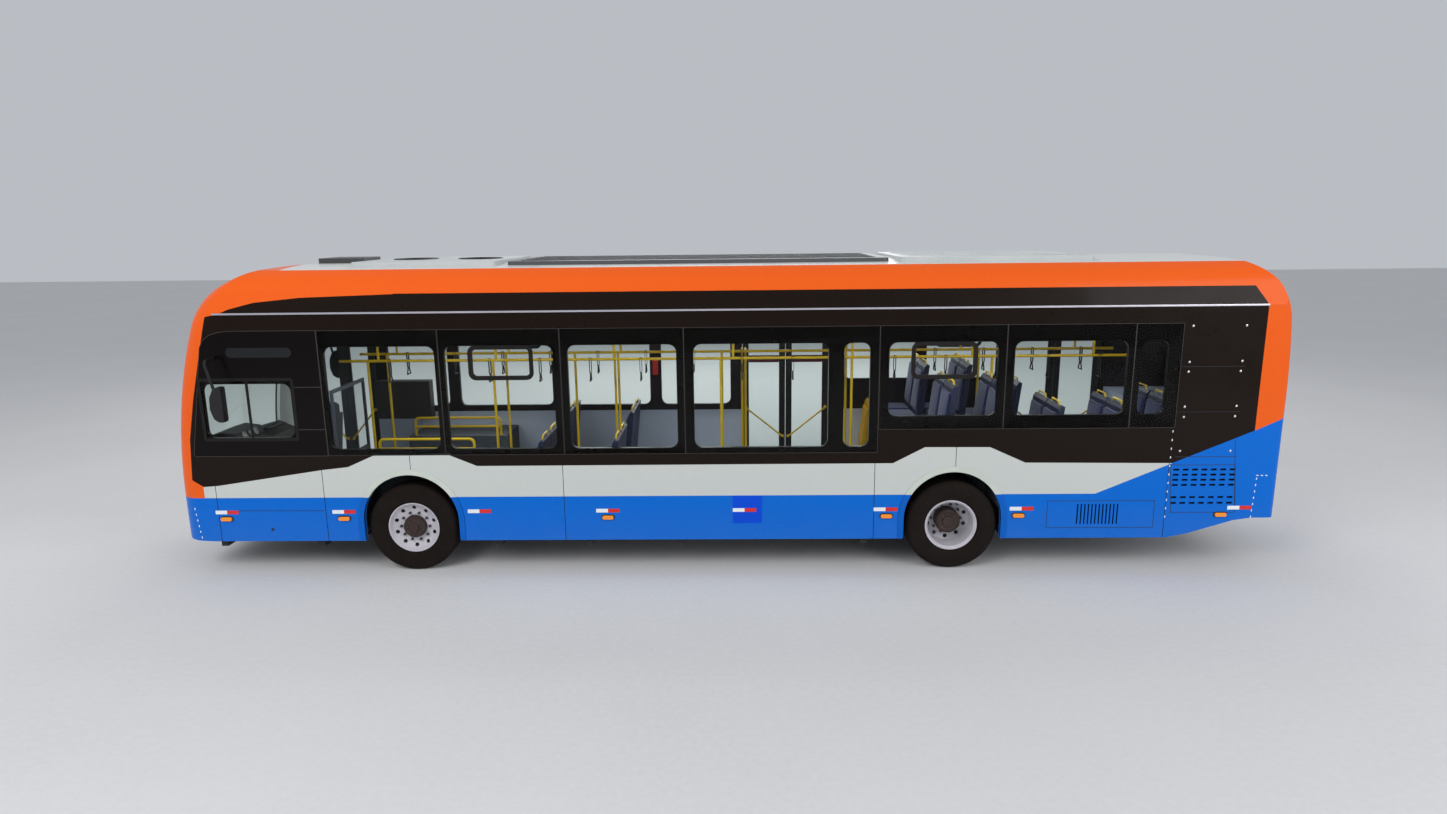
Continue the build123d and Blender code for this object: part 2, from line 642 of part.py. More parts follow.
save("headlamps", Compound(children=[
    lamp_shell & plug for plug in lamps(HEADLAMP, front_seam_x, BIG, -GLASS_GAP)]))

tail_zone = block(-BIG, tail_x + 2 * WALL, -WIDTH, WIDTH, 0, BIG)
rear = shell & block(-BIG, rear_seam_x, -WIDTH, WIDTH, 0, BIG)
for hole in lamps(TAIL_LAMP, tail_x - WALL, rear_seam_x, 0):
    rear -= hole & tail_zone
rear_glass_low_z, rear_glass_top_z = [up(share) for share in REAR_GLASS_SHARES]
rear_glass_half = half_width - REAR_GLASS_IN
rear_glass_z = (rear_glass_low_z + rear_glass_top_z) / 2
rear_glass_high = rear_glass_top_z - rear_glass_low_z
rear -= facing(0, rear_glass_z, 2 * rear_glass_half, rear_glass_high, SCREEN_R, tail_x - WALL, rear_seam_x)
lid_half = half_width - LID_IN
rear -= block(tail_x - WALL, tail_x + LID_T + SEAT_GAP, -lid_half, lid_half, LID_LOW_Z, LID_TOP_Z)
rear -= block(tail_x, tail_x + 2 * WALL, -lid_half + LID_LIP, lid_half - LID_LIP,
              LID_LOW_Z + LID_LIP, LID_TOP_Z - LID_LIP)
for side in (1, -1):
    for slot in louvres(side, [x for x in louvre_xs if x < rear_seam_x], 0, BIG):
        rear -= slot
save("rear_end", rear)
lid = block(tail_x, tail_x + LID_T, -lid_half + LID_GAP, lid_half - LID_GAP, LID_LOW_Z + LID_GAP, LID_TOP_Z - LID_GAP)
for side in (1, -1):
    for z in LID_SLOT_ROWS:
        lid -= sided(side, -BIG, tail_x + LID_SLOT_DEPTH, LID_SLOT_Y - LID_SLOT_W / 2, LID_SLOT_Y + LID_SLOT_W / 2,
                     z - LID_SLOT_H / 2, z + LID_SLOT_H / 2)
save("rear_lid", lid)
rear_plug = facing(0, rear_glass_z, 2 * (rear_glass_half - GLASS_GAP), rear_glass_high - 2 * GLASS_GAP, SCREEN_R,
                   tail_x - WALL, rear_seam_x)
save("rear_glass", (hull(SCREEN_SET) & rear_plug) - hull(SCREEN_SET + SCREEN_T))
save("tail_lamps", Compound(children=[
    lamp_shell & plug & tail_zone for plug in lamps(TAIL_LAMP, tail_x - WALL, rear_seam_x, -GLASS_GAP)]))


# Doors: each leaf hangs on a pivot at the inner corner of its outer edge
def leaf(x0, x1, pivot_x, floor_z):
    y0 = -half_width + LEAF_SET
    y1 = y0 + LEAF_T
    z0 = floor_z + LEAF_LIFT
    z1 = door_top_z - LEAF_GAP
    frame = block(x0, x1, y0, y1, z0, z1)
    glass = (x0 + LEAF_FRAME, x1 - LEAF_FRAME, z0 + LEAF_FRAME, z1 - LEAF_FRAME)
    frame -= pane_prism(-1, *glass, LEAF_GLASS_R, half_width - 2 * WALL, half_width + WALL)
    pin = Pos(pivot_x, y1, floor_z + SEAT_GAP) * rod(PIVOT_R, LEAF_LIFT - SEAT_GAP + LEAF_FRAME / 2)
    middle_y = half_width - LEAF_SET - LEAF_T / 2
    pane = pane_prism(-1, *glass, LEAF_GLASS_R, middle_y - PANE_T / 2, middle_y + PANE_T / 2)
    return frame + pin, pane


for name, x0, x1, floor_z in doors:
    middle = (x0 + x1) / 2
    inset = LEAF_GAP + PIVOT_R
    for part, a, b, pivot in (("fore", middle + LEAF_GAP / 2, x1 - inset, x1 - inset),
                              ("aft", x0 + inset, middle - LEAF_GAP / 2, x0 + inset)):
        frame, pane = leaf(a, b, pivot, floor_z)
        save(f"{name}_{part}_leaf", frame)
        save(f"{name}_{part}_glass", pane)


# Floor panels, the step well at the rear door, thresholds and wheel boxes
def wheel_box(side, x0, x1, y, base_z):
    # Lid, inner wall and end walls of one wheel box
    lid_z = box_top_z - BOX_T
    return [sided(side, x0, x1, y, inner_y, lid_z, box_top_z),
            sided(side, x0, x1, y, y + BOX_T, base_z, lid_z),
            sided(side, x0, x0 + BOX_T, y + BOX_T, inner_y, base_z, lid_z),
            sided(side, x1 - BOX_T, x1, y + BOX_T, inner_y, base_z, lid_z)]


under = FLOOR_Z - FLOOR_T
rear_under = REAR_FLOOR_Z - FLOOR_T
_, well_x0, well_x1, _ = doors[-1]
well_y = -inner_y + WELL_DEPTH
step_back_y = well_y + STEP_TREAD
middle_step_z = (STEP_Z + REAR_FLOOR_Z) / 2
# Panels as x0, x1, y0, y1, z0, z1
floor_panels = [
    (front_box_x1, front_seam_x, -inner_y, inner_y, under, FLOOR_Z),
    (front_box_x0, front_box_x1, -front_box_y, front_box_y, under, FLOOR_Z),
    (riser_x, front_box_x0, -inner_y, inner_y, under, FLOOR_Z),
    (riser_x - FLOOR_T, riser_x, -inner_y, inner_y, under, rear_under),
    (rear_box_x1, riser_x, -inner_y, inner_y, rear_under, REAR_FLOOR_Z),
    (rear_box_x0, rear_box_x1, -rear_box_y, rear_box_y, rear_under, REAR_FLOOR_Z),
    (well_x1, rear_box_x0, -inner_y, inner_y, rear_under, REAR_FLOOR_Z),
    (well_x0, well_x1, step_back_y, inner_y, rear_under, REAR_FLOOR_Z),
    (rear_floor_end_x, well_x0, -inner_y, inner_y, rear_under, REAR_FLOOR_Z),
    (well_x0 - FLOOR_T, well_x1 + FLOOR_T, -inner_y, step_back_y + FLOOR_T, STEP_Z - FLOOR_T, STEP_Z),
    (well_x0 - FLOOR_T, well_x1 + FLOOR_T, step_back_y, step_back_y + FLOOR_T, STEP_Z, rear_under),
    (well_x0 - FLOOR_T, well_x0, -inner_y, step_back_y, STEP_Z, rear_under),
    (well_x1, well_x1 + FLOOR_T, -inner_y, step_back_y, STEP_Z, rear_under),
    (well_x0, well_x1, well_y, step_back_y, STEP_Z, middle_step_z),
]
floor = [block(*panel) for panel in floor_panels]
floor += [block(x0, x1, -half_width, -inner_y, z - FLOOR_T, z) for _, x0, x1, z in doors]
for side in (1, -1):
    floor += wheel_box(side, front_box_x0, front_box_x1, front_box_y, under)
    floor += wheel_box(side, rear_box_x0, rear_box_x1, rear_box_y, rear_under)
save("floor_deck", Compound(children=floor))


# Wheels, built about local Z pointing outwards
def wheel_place(axle_x, side):
    return Location((axle_x, side * track_y, TYRE_R), (-90 * side, 0, 0))


def tyre(along_axis):
    half = TYRE_WIDTH / 2
    points = [(BEAD_R, -BEAD_HALF), (BEAD_R + SIDEWALL, -half), (TYRE_R - SHOULDER, -half + SHOULDER_IN),
              (TYRE_R, -TREAD_HALF)]
    points += [(r, -a) for r, a in points[::-1]]
    return Pos(0, 0, along_axis) * revolve(Plane.XZ * make_face(Polyline(*points, close=True)), Axis.Z)


def rim(profile, hub_end, hub_wall):
    solid = revolve(Plane.XZ * make_face(Polyline(*profile, close=True)), Axis.Z)
    for angle in HAND_HOLES:
        solid -= Rot(0, 0, angle) * Pos(HAND_HOLE_AT, 0, 0) * Cylinder(HAND_HOLE_R, BIG)
    return solid - Pos(0, 0, hub_end - hub_wall) * drop(STUB_R + RUNNING_GAP, BIG)


seat_r = BEAD_R - SEAT_GAP
seat_half = TREAD_HALF + SEAT_GAP
lip_r = FLANGE_R - FLANGE_LIP


def tyre_seat(z):
    # The rim under one tyre, from its inner flange to its outer one
    return [(FLANGE_R, z - FLANGE_HALF), (FLANGE_R, z - seat_half), (seat_r, z - seat_half), (seat_r, z + seat_half),
            (FLANGE_R, z + seat_half), (FLANGE_R, z + FLANGE_HALF)]


front_rim = [(0, -HUB_BACK), (HUB_R, -HUB_BACK), (HUB_R, DISC_FOOT[0]), (DISC_R, DISC_FOOT[0]),
             (BARREL_R, DISC_EDGE[0]), (BARREL_R, -BARREL_HALF), (lip_r, -FLANGE_HALF)]
front_rim += tyre_seat(0)
front_rim += [(lip_r, FLANGE_HALF), (BARREL_R, DISC_EDGE[1]), (DISC_R, DISC_FOOT[1]), (HUB_R, DISC_FOOT[1]),
              (HUB_R, HUB_END - HUB_EDGE), (HUB_R - HUB_EDGE, HUB_END), (0, HUB_END)]
disc_z = -TWIN_PITCH / 2
rear_hub_end = disc_z + REAR_HUB_END
rear_rim = [(0, disc_z - REAR_HUB_BACK), (REAR_HUB_R, disc_z - REAR_HUB_BACK), (REAR_HUB_R, disc_z - REAR_DISC_FOOT),
            (BARREL_R, disc_z - REAR_DISC_EDGE), (BARREL_R, -TWIN_PITCH - BARREL_HALF),
            (lip_r, -TWIN_PITCH - FLANGE_HALF)]
rear_rim += tyre_seat(-TWIN_PITCH)
rear_rim += [(SPACER_R, -TWIN_PITCH + FLANGE_HALF + SPACER_GAP), (SPACER_R, -FLANGE_HALF - SPACER_GAP)]
rear_rim += tyre_seat(0)
rear_rim += [(lip_r, FLANGE_HALF), (BARREL_R, BARREL_HALF), (BARREL_R, disc_z + REAR_DISC_EDGE),
             (REAR_HUB_R, disc_z + REAR_DISC_FOOT), (REAR_HUB_R, rear_hub_end - REAR_HUB_EDGE),
             (REAR_HUB_R - REAR_HUB_EDGE, rear_hub_end), (0, rear_hub_end)]

for side, letter in ((1, "left"), (-1, "right")):
    at = wheel_place(front_axle_x, side)
    save(f"front_{letter}_tyre", at * tyre(0))
    save(f"front_{letter}_rim", at * rim(front_rim, HUB_END, HUB_WALL))
    at = wheel_place(rear_axle_x, side)
    save(f"rear_{letter}_tyre", at * Compound(children=[tyre(0), tyre(-TWIN_PITCH)]))
    save(f"rear_{letter}_rim", at * rim(rear_rim, rear_hub_end, REAR_HUB_WALL))

# Front axle with a dropped middle, kingpins and knuckles
beam_top_z = BEAM_LOW_Z + BEAM_T
beam = [(0, BEAM_LOW_Z), (kingpin_y - BEAM_UNDER[0], BEAM_LOW_Z), (kingpin_y - BEAM_UNDER[1], TYRE_R - BEAM_T / 2),
        (kingpin_y, TYRE_R - BEAM_T / 2), (kingpin_y, TYRE_R + BEAM_T / 2),
        (kingpin_y - BEAM_OVER[1], TYRE_R + BEAM_T / 2), (kingpin_y - BEAM_OVER[0], beam_top_z), (0, beam_top_z)]
half_beam = extrude(Plane.YZ * make_face(Polyline(*beam, close=True)), BEAM_HALF_X, both=True)
front_axle = half_beam + mirror(half_beam, Plane.XZ)
for side in (1, -1):
    front_axle += Pos(0, side * kingpin_y, TYRE_R) * Cylinder(BOSS_R, 2 * BOSS_HALF)
    front_axle += Pos(0, side * kingpin_y, TYRE_R) * Cylinder(KINGPIN_R, 2 * (BOSS_HALF + LUG_T))
save("front_axle", Pos(front_axle_x, 0, 0) * front_axle)


def knuckle(side):
    # Fork round the axle's boss, with the stub that carries the wheel
    lug_z = BOSS_HALF + SEAT_GAP
    plate_y = kingpin_y + FORK_AT
    stub_y0 = plate_y + FORK_T
    stub_y1 = track_y + HUB_END - HUB_WALL - SEAT_GAP
    part = sided(side, -FORK_HALF_X, FORK_HALF_X, plate_y, stub_y0, TYRE_R - lug_z - LUG_T, TYRE_R + lug_z + LUG_T)
    for z0 in (TYRE_R + lug_z, TYRE_R - lug_z - LUG_T):
        part += sided(side, -LUG_R, LUG_R, kingpin_y, plate_y, z0, z0 + LUG_T)
        part += Pos(0, side * kingpin_y, z0) * rod(LUG_R, LUG_T)
    part -= Pos(0, side * kingpin_y, TYRE_R) * Cylinder(KINGPIN_R + RUNNING_GAP, BIG)
    stub = Cylinder(STUB_R, stub_y1 - stub_y0)
    part += Location((0, side * (stub_y0 + stub_y1) / 2, TYRE_R), (90, 0, 0)) * stub
    return Pos(front_axle_x, 0, 0) * part


save("left_knuckle", knuckle(1))
save("right_knuckle", knuckle(-1))

# Rear axle: tube, motor housing, spring saddles and the pins the hubs turn on
spring_y = twin_y - SPRING_IN
rear_pin_end = track_y + rear_hub_end - REAR_HUB_WALL - SEAT_GAP
rear_axle = Rot(90, 0, 0) * Cylinder(STUB_R, 2 * rear_pin_end)
rear_axle += Rot(90, 0, 0) * Cylinder(AXLE_TUBE_R, 2 * (twin_y - AXLE_TUBE_IN))
rear_axle += Sphere(rear_under - TYRE_R - HOUSING_GAP)
for side in (1, -1):
    rear_axle += sided(side, -SADDLE_HALF_X, SADDLE_HALF_X, spring_y - SADDLE_W / 2, spring_y + SADDLE_W / 2,
                       -SADDLE_LOW, SADDLE_TOP)
save("rear_axle", Pos(rear_axle_x, 0, TYRE_R) * rear_axle)
spring_z = TYRE_R + SADDLE_TOP
save("air_springs", Compound(children=[
    Pos(rear_axle_x + fore, side * spring_y, spring_z) * rod(SPRING_R, rear_under - spring_z)
    for fore in (-SPRING_X, SPRING_X) for side in (1, -1)]))

# Chassis: rails, cross members and outriggers under the floor, jack pads and the towing socket at the front
rail_y = spring_y - SPRING_R - RAIL_GAP
rail_z = (under - RAIL_H, under)
rear_rail_z = (rear_under - RAIL_H, rear_under)
rail_front_x = front_seam_x + RAIL_FRONT
low_ends = (front_box_x0 - CROSS_BACK, riser_x + CROSS_RISER)
cab_cross_x = front_box_x1 + CROSS_CAB
cross_xs = [front_seam_x - CROSS_FRONT, cab_cross_x, *low_ends, *[along(share, *low_ends) for share in CROSS_SHARES]]
rear_cross_xs = [rear_box_x0 - REAR_CROSS_BACK, rear_floor_end_x + REAR_CROSS_END]
rail_kick_x = riser_x - FLOOR_T
chassis = sided(1, rail_kick_x, rail_front_x, rail_y - RAIL_W, rail_y, *rail_z)
chassis += sided(-1, rail_kick_x, rail_front_x, rail_y - RAIL_W, rail_y, *rail_z)
for side in (1, -1):
    chassis += sided(side, rail_kick_x - RAIL_W, rail_kick_x, rail_y - RAIL_W, rail_y, rail_z[0], rear_rail_z[1])
    chassis += sided(side, tail_x + RAIL_REAR, rail_kick_x, rail_y - RAIL_W, rail_y, *rear_rail_z)
for x in cross_xs:
    chassis += block(x - CROSS_W / 2, x + CROSS_W / 2, -inner_y, inner_y, *rail_z)
for x in rear_cross_xs:
    chassis += block(x - CROSS_W / 2, x + CROSS_W / 2, -rail_y, inner_y, *rear_rail_z)
tow_at = Pos(rail_front_x + TOW_LENGTH / 2, rail_y - RAIL_W / 2, rail_z[1] - RAIL_H / 2) * Rot(0, 90, 0)
chassis += tow_at * (Cylinder(TOW_OUT_R, TOW_LENGTH) - Cylinder(TOW_R, TOW_LENGTH))
jack_y = half_width - JACK_IN
for x in (cab_cross_x, low_ends[1]):
    for side in (1, -1):
        chassis += sided(side, x - CROSS_W / 2, x + CROSS_W / 2, jack_y - JACK_W / 2, jack_y + JACK_W / 2,
                         rail_z[0] - JACK_T, rail_z[0])
save("chassis_frame", chassis)

power_half = half_width - POWER_SIDE
save("power_unit", block(tail_x + POWER_REAR, rear_floor_end_x - POWER_FORE, -power_half, power_half,
                         rear_under, SHELF_Z - POWER_UNDER))
bulkhead = block(rear_floor_end_x - BULKHEAD_T, rear_floor_end_x, -inner_y, inner_y, rear_under, SHELF_Z)
bulkhead += block(tail_x, rear_floor_end_x, -inner_y, inner_y, SHELF_Z, SHELF_Z + BULKHEAD_T)
save("rear_bulkhead", bulkhead & inner)

# Cab: platform, dashboard, column, steering wheel, driver's seat and partition
driver_y = inner_y - DRIVER_IN
cab_y = (inner_y - CAB_WIDTH, inner_y)
partition_x = front_box_x1 + PARTITION_AHEAD
wheel_x = in_cab(WHEEL_SHARE)
toe_x = wheel_x + DASH[-1][0]
dash_front_x = front_seam_x + DASH_REACH
dash_side = [(toe_x, FLOOR_Z), (dash_front_x, FLOOR_Z), (dash_front_x, DASH_FRONT_Z)]
dash_side += [(wheel_x + fore, z) for fore, z in DASH]
dash = extrude(Plane.XZ * make_face(Polyline(*dash_side, close=True)), -(inner_y + DASH_OVER))
dash = (Pos(0, -DASH_OVER, 0) * dash) & inner
column_at = Location((wheel_x, driver_y, WHEEL_Z), (0, -WHEEL_TILT, 0))
dash += column_at * drop(COLUMN_R, COLUMN_LENGTH)
dash += column_at * Pos(0, 0, -SHROUD_BELOW) * drop(SHROUD_R, COLUMN_LENGTH)
dash += block(partition_x + CAB_AHEAD, toe_x, *cab_y, FLOOR_Z, CAB_Z)
save("dashboard", dash)
wheel = Torus(WHEEL_R, WHEEL_TUBE_R) + Cylinder(WHEEL_HUB_R, WHEEL_HUB_T)
for angle in (0, 120, 240):
    wheel += Rot(0, 0, angle) * Pos(WHEEL_R / 2, 0, 0) * Box(WHEEL_R, SPOKE_W, SPOKE_T)
wheel -= Pos(0, 0, SEAT_GAP) * drop(COLUMN_R + RUNNING_GAP, BIG)
wheel -= Pos(0, 0, SEAT_GAP - SHROUD_BELOW) * drop(WHEEL_HUB_R + SEAT_GAP, BIG)
save("steering_wheel", column_at * wheel)
save("partition", block(partition_x, partition_x + PARTITION_T, *cab_y, FLOOR_Z, up(PARTITION_SHARE)))


def seat_unit(x, y, level):
    side = extrude(Plane.XZ * make_face(Polyline(*SEAT_SIDE, close=True)), SEAT_W / 2, both=True)
    return Pos(x, y, level) * side


pan_z = SEAT_SIDE[0][1]
driver_x = in_cab(DRIVER_SHARE)
driver = seat_unit(driver_x, driver_y, CAB_Z)
driver += block(driver_x - DRIVER_BASE_HALF, driver_x + DRIVER_BASE_HALF, driver_y - DRIVER_BASE_HALF,
                driver_y + DRIVER_BASE_HALF, CAB_Z, CAB_Z + pan_z)
save("driver_seat", driver)

# Passenger seats: x, y, level the seat height counts from, level its foot stands on, seats abreast
pair_y = inner_y - SEAT_WALL_GAP - (SEAT_PITCH + SEAT_W) / 2
single_y = inner_y - SEAT_WALL_GAP - SEAT_W / 2
rear_first_x = rear_box_x0 - REAR_SEAT_BACK
rear_rows = int((rear_first_x - rear_floor_end_x - REAR_ROW_END) / REAR_ROW_PITCH) + 1
rear_xs = [rear_first_x - REAR_ROW_PITCH * row for row in range(rear_rows)]
seats = [(riser_x - STEP_SEAT_BACK, -single_y, FLOOR_Z, REAR_FLOOR_Z, 1),
         (rear_first_x, -pair_y, REAR_FLOOR_Z, REAR_FLOOR_Z, 2),
         (rear_xs[-1], MIDDLE_SEAT_Y, REAR_FLOOR_Z, REAR_FLOOR_Z, 1)]
seats += [(x, pair_y, REAR_FLOOR_Z, REAR_FLOOR_Z, 2) for x in rear_xs]
for side in (1, -1):
    for row in (0, 1):
        seats.append((front_box_x0 - SEAT_BACK - ROW_PITCH * row, side * pair_y, FLOOR_Z, FLOOR_Z, 2))
    for fore in BOX_ROWS:
        seats.append((rear_axle_x + fore, side * pair_y, box_top_z - BOX_SEAT_SINK, box_top_z, 2))
seat_units = []
seat_feet = []
for x, y, level, foot, abreast in seats:
    for place in range(abreast):
        seat_units.append(seat_unit(x, y + SEAT_PITCH * (place - (abreast - 1) / 2), level))
    half = SEAT_PITCH * abreast / 2 - STAND_IN
    stand = block(x - STAND_HALF_X, x + STAND_HALF_X, y - half, y + half, level + pan_z - STAND_T, level + pan_z)
    stand += block(x - FOOT_HALF, x + FOOT_HALF, y - FOOT_HALF, y + FOOT_HALF, foot, level + pan_z)
    seat_feet.append(stand)
save("seat_shells", Compound(children=seat_units))
save("seat_frames", Compound(children=seat_feet))


def tube(radius, bend, *points):
    path = FilletPolyline(*points, radius=bend)
    start = Plane(path @ 0, z_dir=path % 0)
    return sweep(start * Circle(radius), path)


# Handrails: two overhead rails on hangers, posts under them, and rails along the front wheel boxes
overhead_z = up(OVERHEAD_SHARE)
overhead_x = (rear_floor_end_x + OVERHEAD_ENDS[0], front_box_x1 + OVERHEAD_ENDS[1])
posts = [(front_box_x0 + fore, FLOOR_Z) for fore in POST_BY_FRONT_BOX]
posts += [(front_box_x1 + POST_AHEAD_OF_BOX, FLOOR_Z), (riser_x + POST_BY_RISER, FLOOR_Z),
          (doors[1][2] + POST_BY_DOOR, FLOOR_Z), (rear_box_x0 - POST_BEHIND_BOX, REAR_FLOOR_Z)]
guard_x = (front_box_x0 + GUARD_END, front_box_x1 - GUARD_END)
handrails = []
for side in (1, -1):
    y = side * (inner_y - OVERHEAD_IN)
    rail = Pos(sum(overhead_x) / 2, y, overhead_z) * Rot(0, 90, 0) * Cylinder(
        HANDRAIL_R, overhead_x[1] - overhead_x[0])
    for share in HANGER_SHARES:
        rail += (Pos(along(share, *overhead_x), y, overhead_z) * rod(HANGER_R, ROOF_Z - overhead_z)) & inner
    for x, z in posts:
        rail += Pos(x, y, z) * rod(POST_R, overhead_z - z)
    handrails.append(rail)
    guard_y = side * (front_box_y + GUARD_IN)
    guard_z = box_top_z + GUARD_RISE
    guard = tube(HANDRAIL_R, GUARD_BEND, (guard_x[0], guard_y, box_top_z), (guard_x[0], guard_y, guard_z),
                 (guard_x[1], guard_y, guard_z), (guard_x[1], guard_y, box_top_z))
    guard += Pos(front_axle_x, guard_y, box_top_z + GUARD_RISE / 2) * Rot(0, 90, 0) * Cylinder(
        HANGER_R, guard_x[1] - guard_x[0])
    handrails.append(guard)
save("handrails", Compound(children=handrails))

# Mirrors on arms at the front corners
mirror_y = half_width + MIRROR_OUT
mirror_x = [front_seam_x - back for back in MIRROR_BACK]
mirror_z = [up(share) for share in MIRROR_SHARES]
arm_x = front_seam_x - ARM_BACK
arm_z = up(ARM_SHARE)
mirrors = []
for side in (1, -1):
    house = sided(side, *mirror_x, mirror_y - MIRROR_T / 2, mirror_y + MIRROR_T / 2, *mirror_z)
    house = fillet(house.edges(), MIRROR_EDGE_R)
    arm = tube(ARM_R, ARM_BEND, (arm_x, side * half_width, arm_z), (arm_x, side * mirror_y, arm_z),
               (arm_x - ARM_SWEEP, side * mirror_y, mirror_z[1] - ARM_SINK))
    mirrors.append(house + arm)
save("mirrors", Compound(children=mirrors))

# Wipers lying along the foot of the windscreen
wiper_zone = hull(-WIPER_T + SCREEN_SET + GLASS_GAP) - hull(SCREEN_SET - GLASS_GAP)
wiper_length = screen_half - WIPER_SHORT
wipers = []
for y in (WIPER_IN, WIPER_IN - WIPER_APART - wiper_length):
    bar = block(front_seam_x, BIG, y, y + wiper_length, WIPER_Z, WIPER_Z + WIPER_W)
    bar += block(front_seam_x, BIG, y, y + WIPER_FOOT_W, WIPER_Z - WIPER_FOOT, WIPER_Z)
    wipers.append(wiper_zone & bar)
save("wipers", Compound(children=wipers))

# Destination display under the brow and units on the roof
sign_half = half_width - SIGN_IN
sign = block(front_seam_x - SIGN_BACK, nose_x, -sign_half, sign_half, up(SIGN_LOW_SHARE), gutter_z - SIGN_TOP_GAP)
save("destination_sign", sign & inner)
units = []
for start, end, inset, rise in ROOF_UNITS:
    half = roof_edge_y - inset
    cover = block(along(start, tail_x, nose_x), along(end, tail_x, nose_x), -half, half, roof_edge_z, ROOF_Z + rise)
    cover = fillet(cover.edges().filter_by(Axis.Z), ROOF_UNIT_R)
    units.append(cover - outer)
save("roof_units", Compound(children=units))
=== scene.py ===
import math

import bmesh
import bpy
from mathutils import Matrix, Vector


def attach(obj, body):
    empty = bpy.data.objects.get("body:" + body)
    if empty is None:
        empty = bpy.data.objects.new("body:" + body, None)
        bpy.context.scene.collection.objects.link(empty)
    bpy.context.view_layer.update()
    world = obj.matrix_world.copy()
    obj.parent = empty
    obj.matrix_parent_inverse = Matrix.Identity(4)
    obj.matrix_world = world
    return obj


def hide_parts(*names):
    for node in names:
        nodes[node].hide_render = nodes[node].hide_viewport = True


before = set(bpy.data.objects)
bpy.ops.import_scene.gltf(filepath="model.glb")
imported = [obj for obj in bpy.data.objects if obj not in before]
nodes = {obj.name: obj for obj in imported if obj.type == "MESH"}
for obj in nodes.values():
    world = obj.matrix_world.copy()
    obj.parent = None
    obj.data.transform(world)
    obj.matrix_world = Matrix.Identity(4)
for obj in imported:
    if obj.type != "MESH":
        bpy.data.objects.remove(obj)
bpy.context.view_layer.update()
print("frame loaded:", len(nodes), "nodes")


def linear(hexColour):  # sRGB hex to linear RGBA
    parts = [int(hexColour[i:i + 2], 16) / 255 for i in (1, 3, 5)]
    return [p / 12.92 if p <= 0.04045 else ((p + 0.055) / 1.055) ** 2.4 for p in parts] + [1.0]


def feed(tree, node, inputs):  # sockets are linked, constants are set
    for key, value in inputs.items():
        if isinstance(value, bpy.types.NodeSocket):
            tree.links.new(value, node.inputs[key])
        else:
            node.inputs[key].default_value = value


def addNode(tree, kind, inputs=None, **settings):
    node = tree.nodes.new("ShaderNode" + kind)
    for key, value in settings.items():
        setattr(node, key, value)
    feed(tree, node, inputs or {})
    return node


def newMaterial(name):
    material = bpy.data.materials.new(name)
    material.use_nodes = True
    return material, material.node_tree, material.node_tree.nodes["Principled BSDF"]


def objectCoords(tree):
    return addNode(tree, "TexCoord").outputs["Object"]


def mathNode(tree, operation, *values):
    return addNode(tree, "Math", dict(enumerate(values)), operation=operation).outputs[0]


def noise(tree, coords, grainMm, detail, roughness=0.5):
    return addNode(tree, "TexNoise", {"Vector": coords, "Scale": 1000 / grainMm, "Detail": detail,
                                      "Roughness": roughness}).outputs[0]


def remap(tree, value, low, high, first=0.0, last=1.0):
    return addNode(tree, "MapRange", {"Value": value, "From Min": low, "From Max": high, "To Min": first,
                                      "To Max": last}).outputs[0]


def mixColour(tree, share, under, over):
    return addNode(tree, "Mix", {0: share, 6: under, 7: over}, data_type="RGBA").outputs[2]


def addBump(tree, height, depth, strength, **under):
    return addNode(tree, "Bump", {"Height": height, "Distance": depth, "Strength": strength, **under}).outputs[0]


# A plain finish: two near colours in soft patches, a fine grain that also moves the roughness, and a bump in mm
def grainFinish(name, colour, second, rough, grainMm, bumpMm, patchMm=400, metallic=0.0, coat=0.0, specular=0.5):
    material, tree, shader = newMaterial(name)
    coords = objectCoords(tree)
    grain = noise(tree, coords, grainMm, 3.0)
    blend = mathNode(tree, "MULTIPLY", noise(tree, coords, patchMm, 4.0, 0.6), grain)
    feed(tree, shader, {
        "Base Color": mixColour(tree, remap(tree, blend, 0.12, 0.42), linear(colour), linear(second)),
        "Roughness": remap(tree, grain, 0.3, 0.7, *rough), "Normal": addBump(tree, grain, bumpMm / 1000, 0.6),
        "Metallic": metallic, "Coat Weight": coat, "Coat Roughness": 0.06, "Specular IOR Level": specular})
    return material


# A broken line read along one coordinate, as (place, value) points from low to high
def brokenLine(tree, source, points):
    (a, low), (b, high) = points[:2]
    height = remap(tree, source, a, b, low, high)
    for (a, low), (b, high) in zip(points[1:], points[2:]):
        height = mathNode(tree, "ADD", height, remap(tree, source, a, b, 0.0, high - low))
    return height


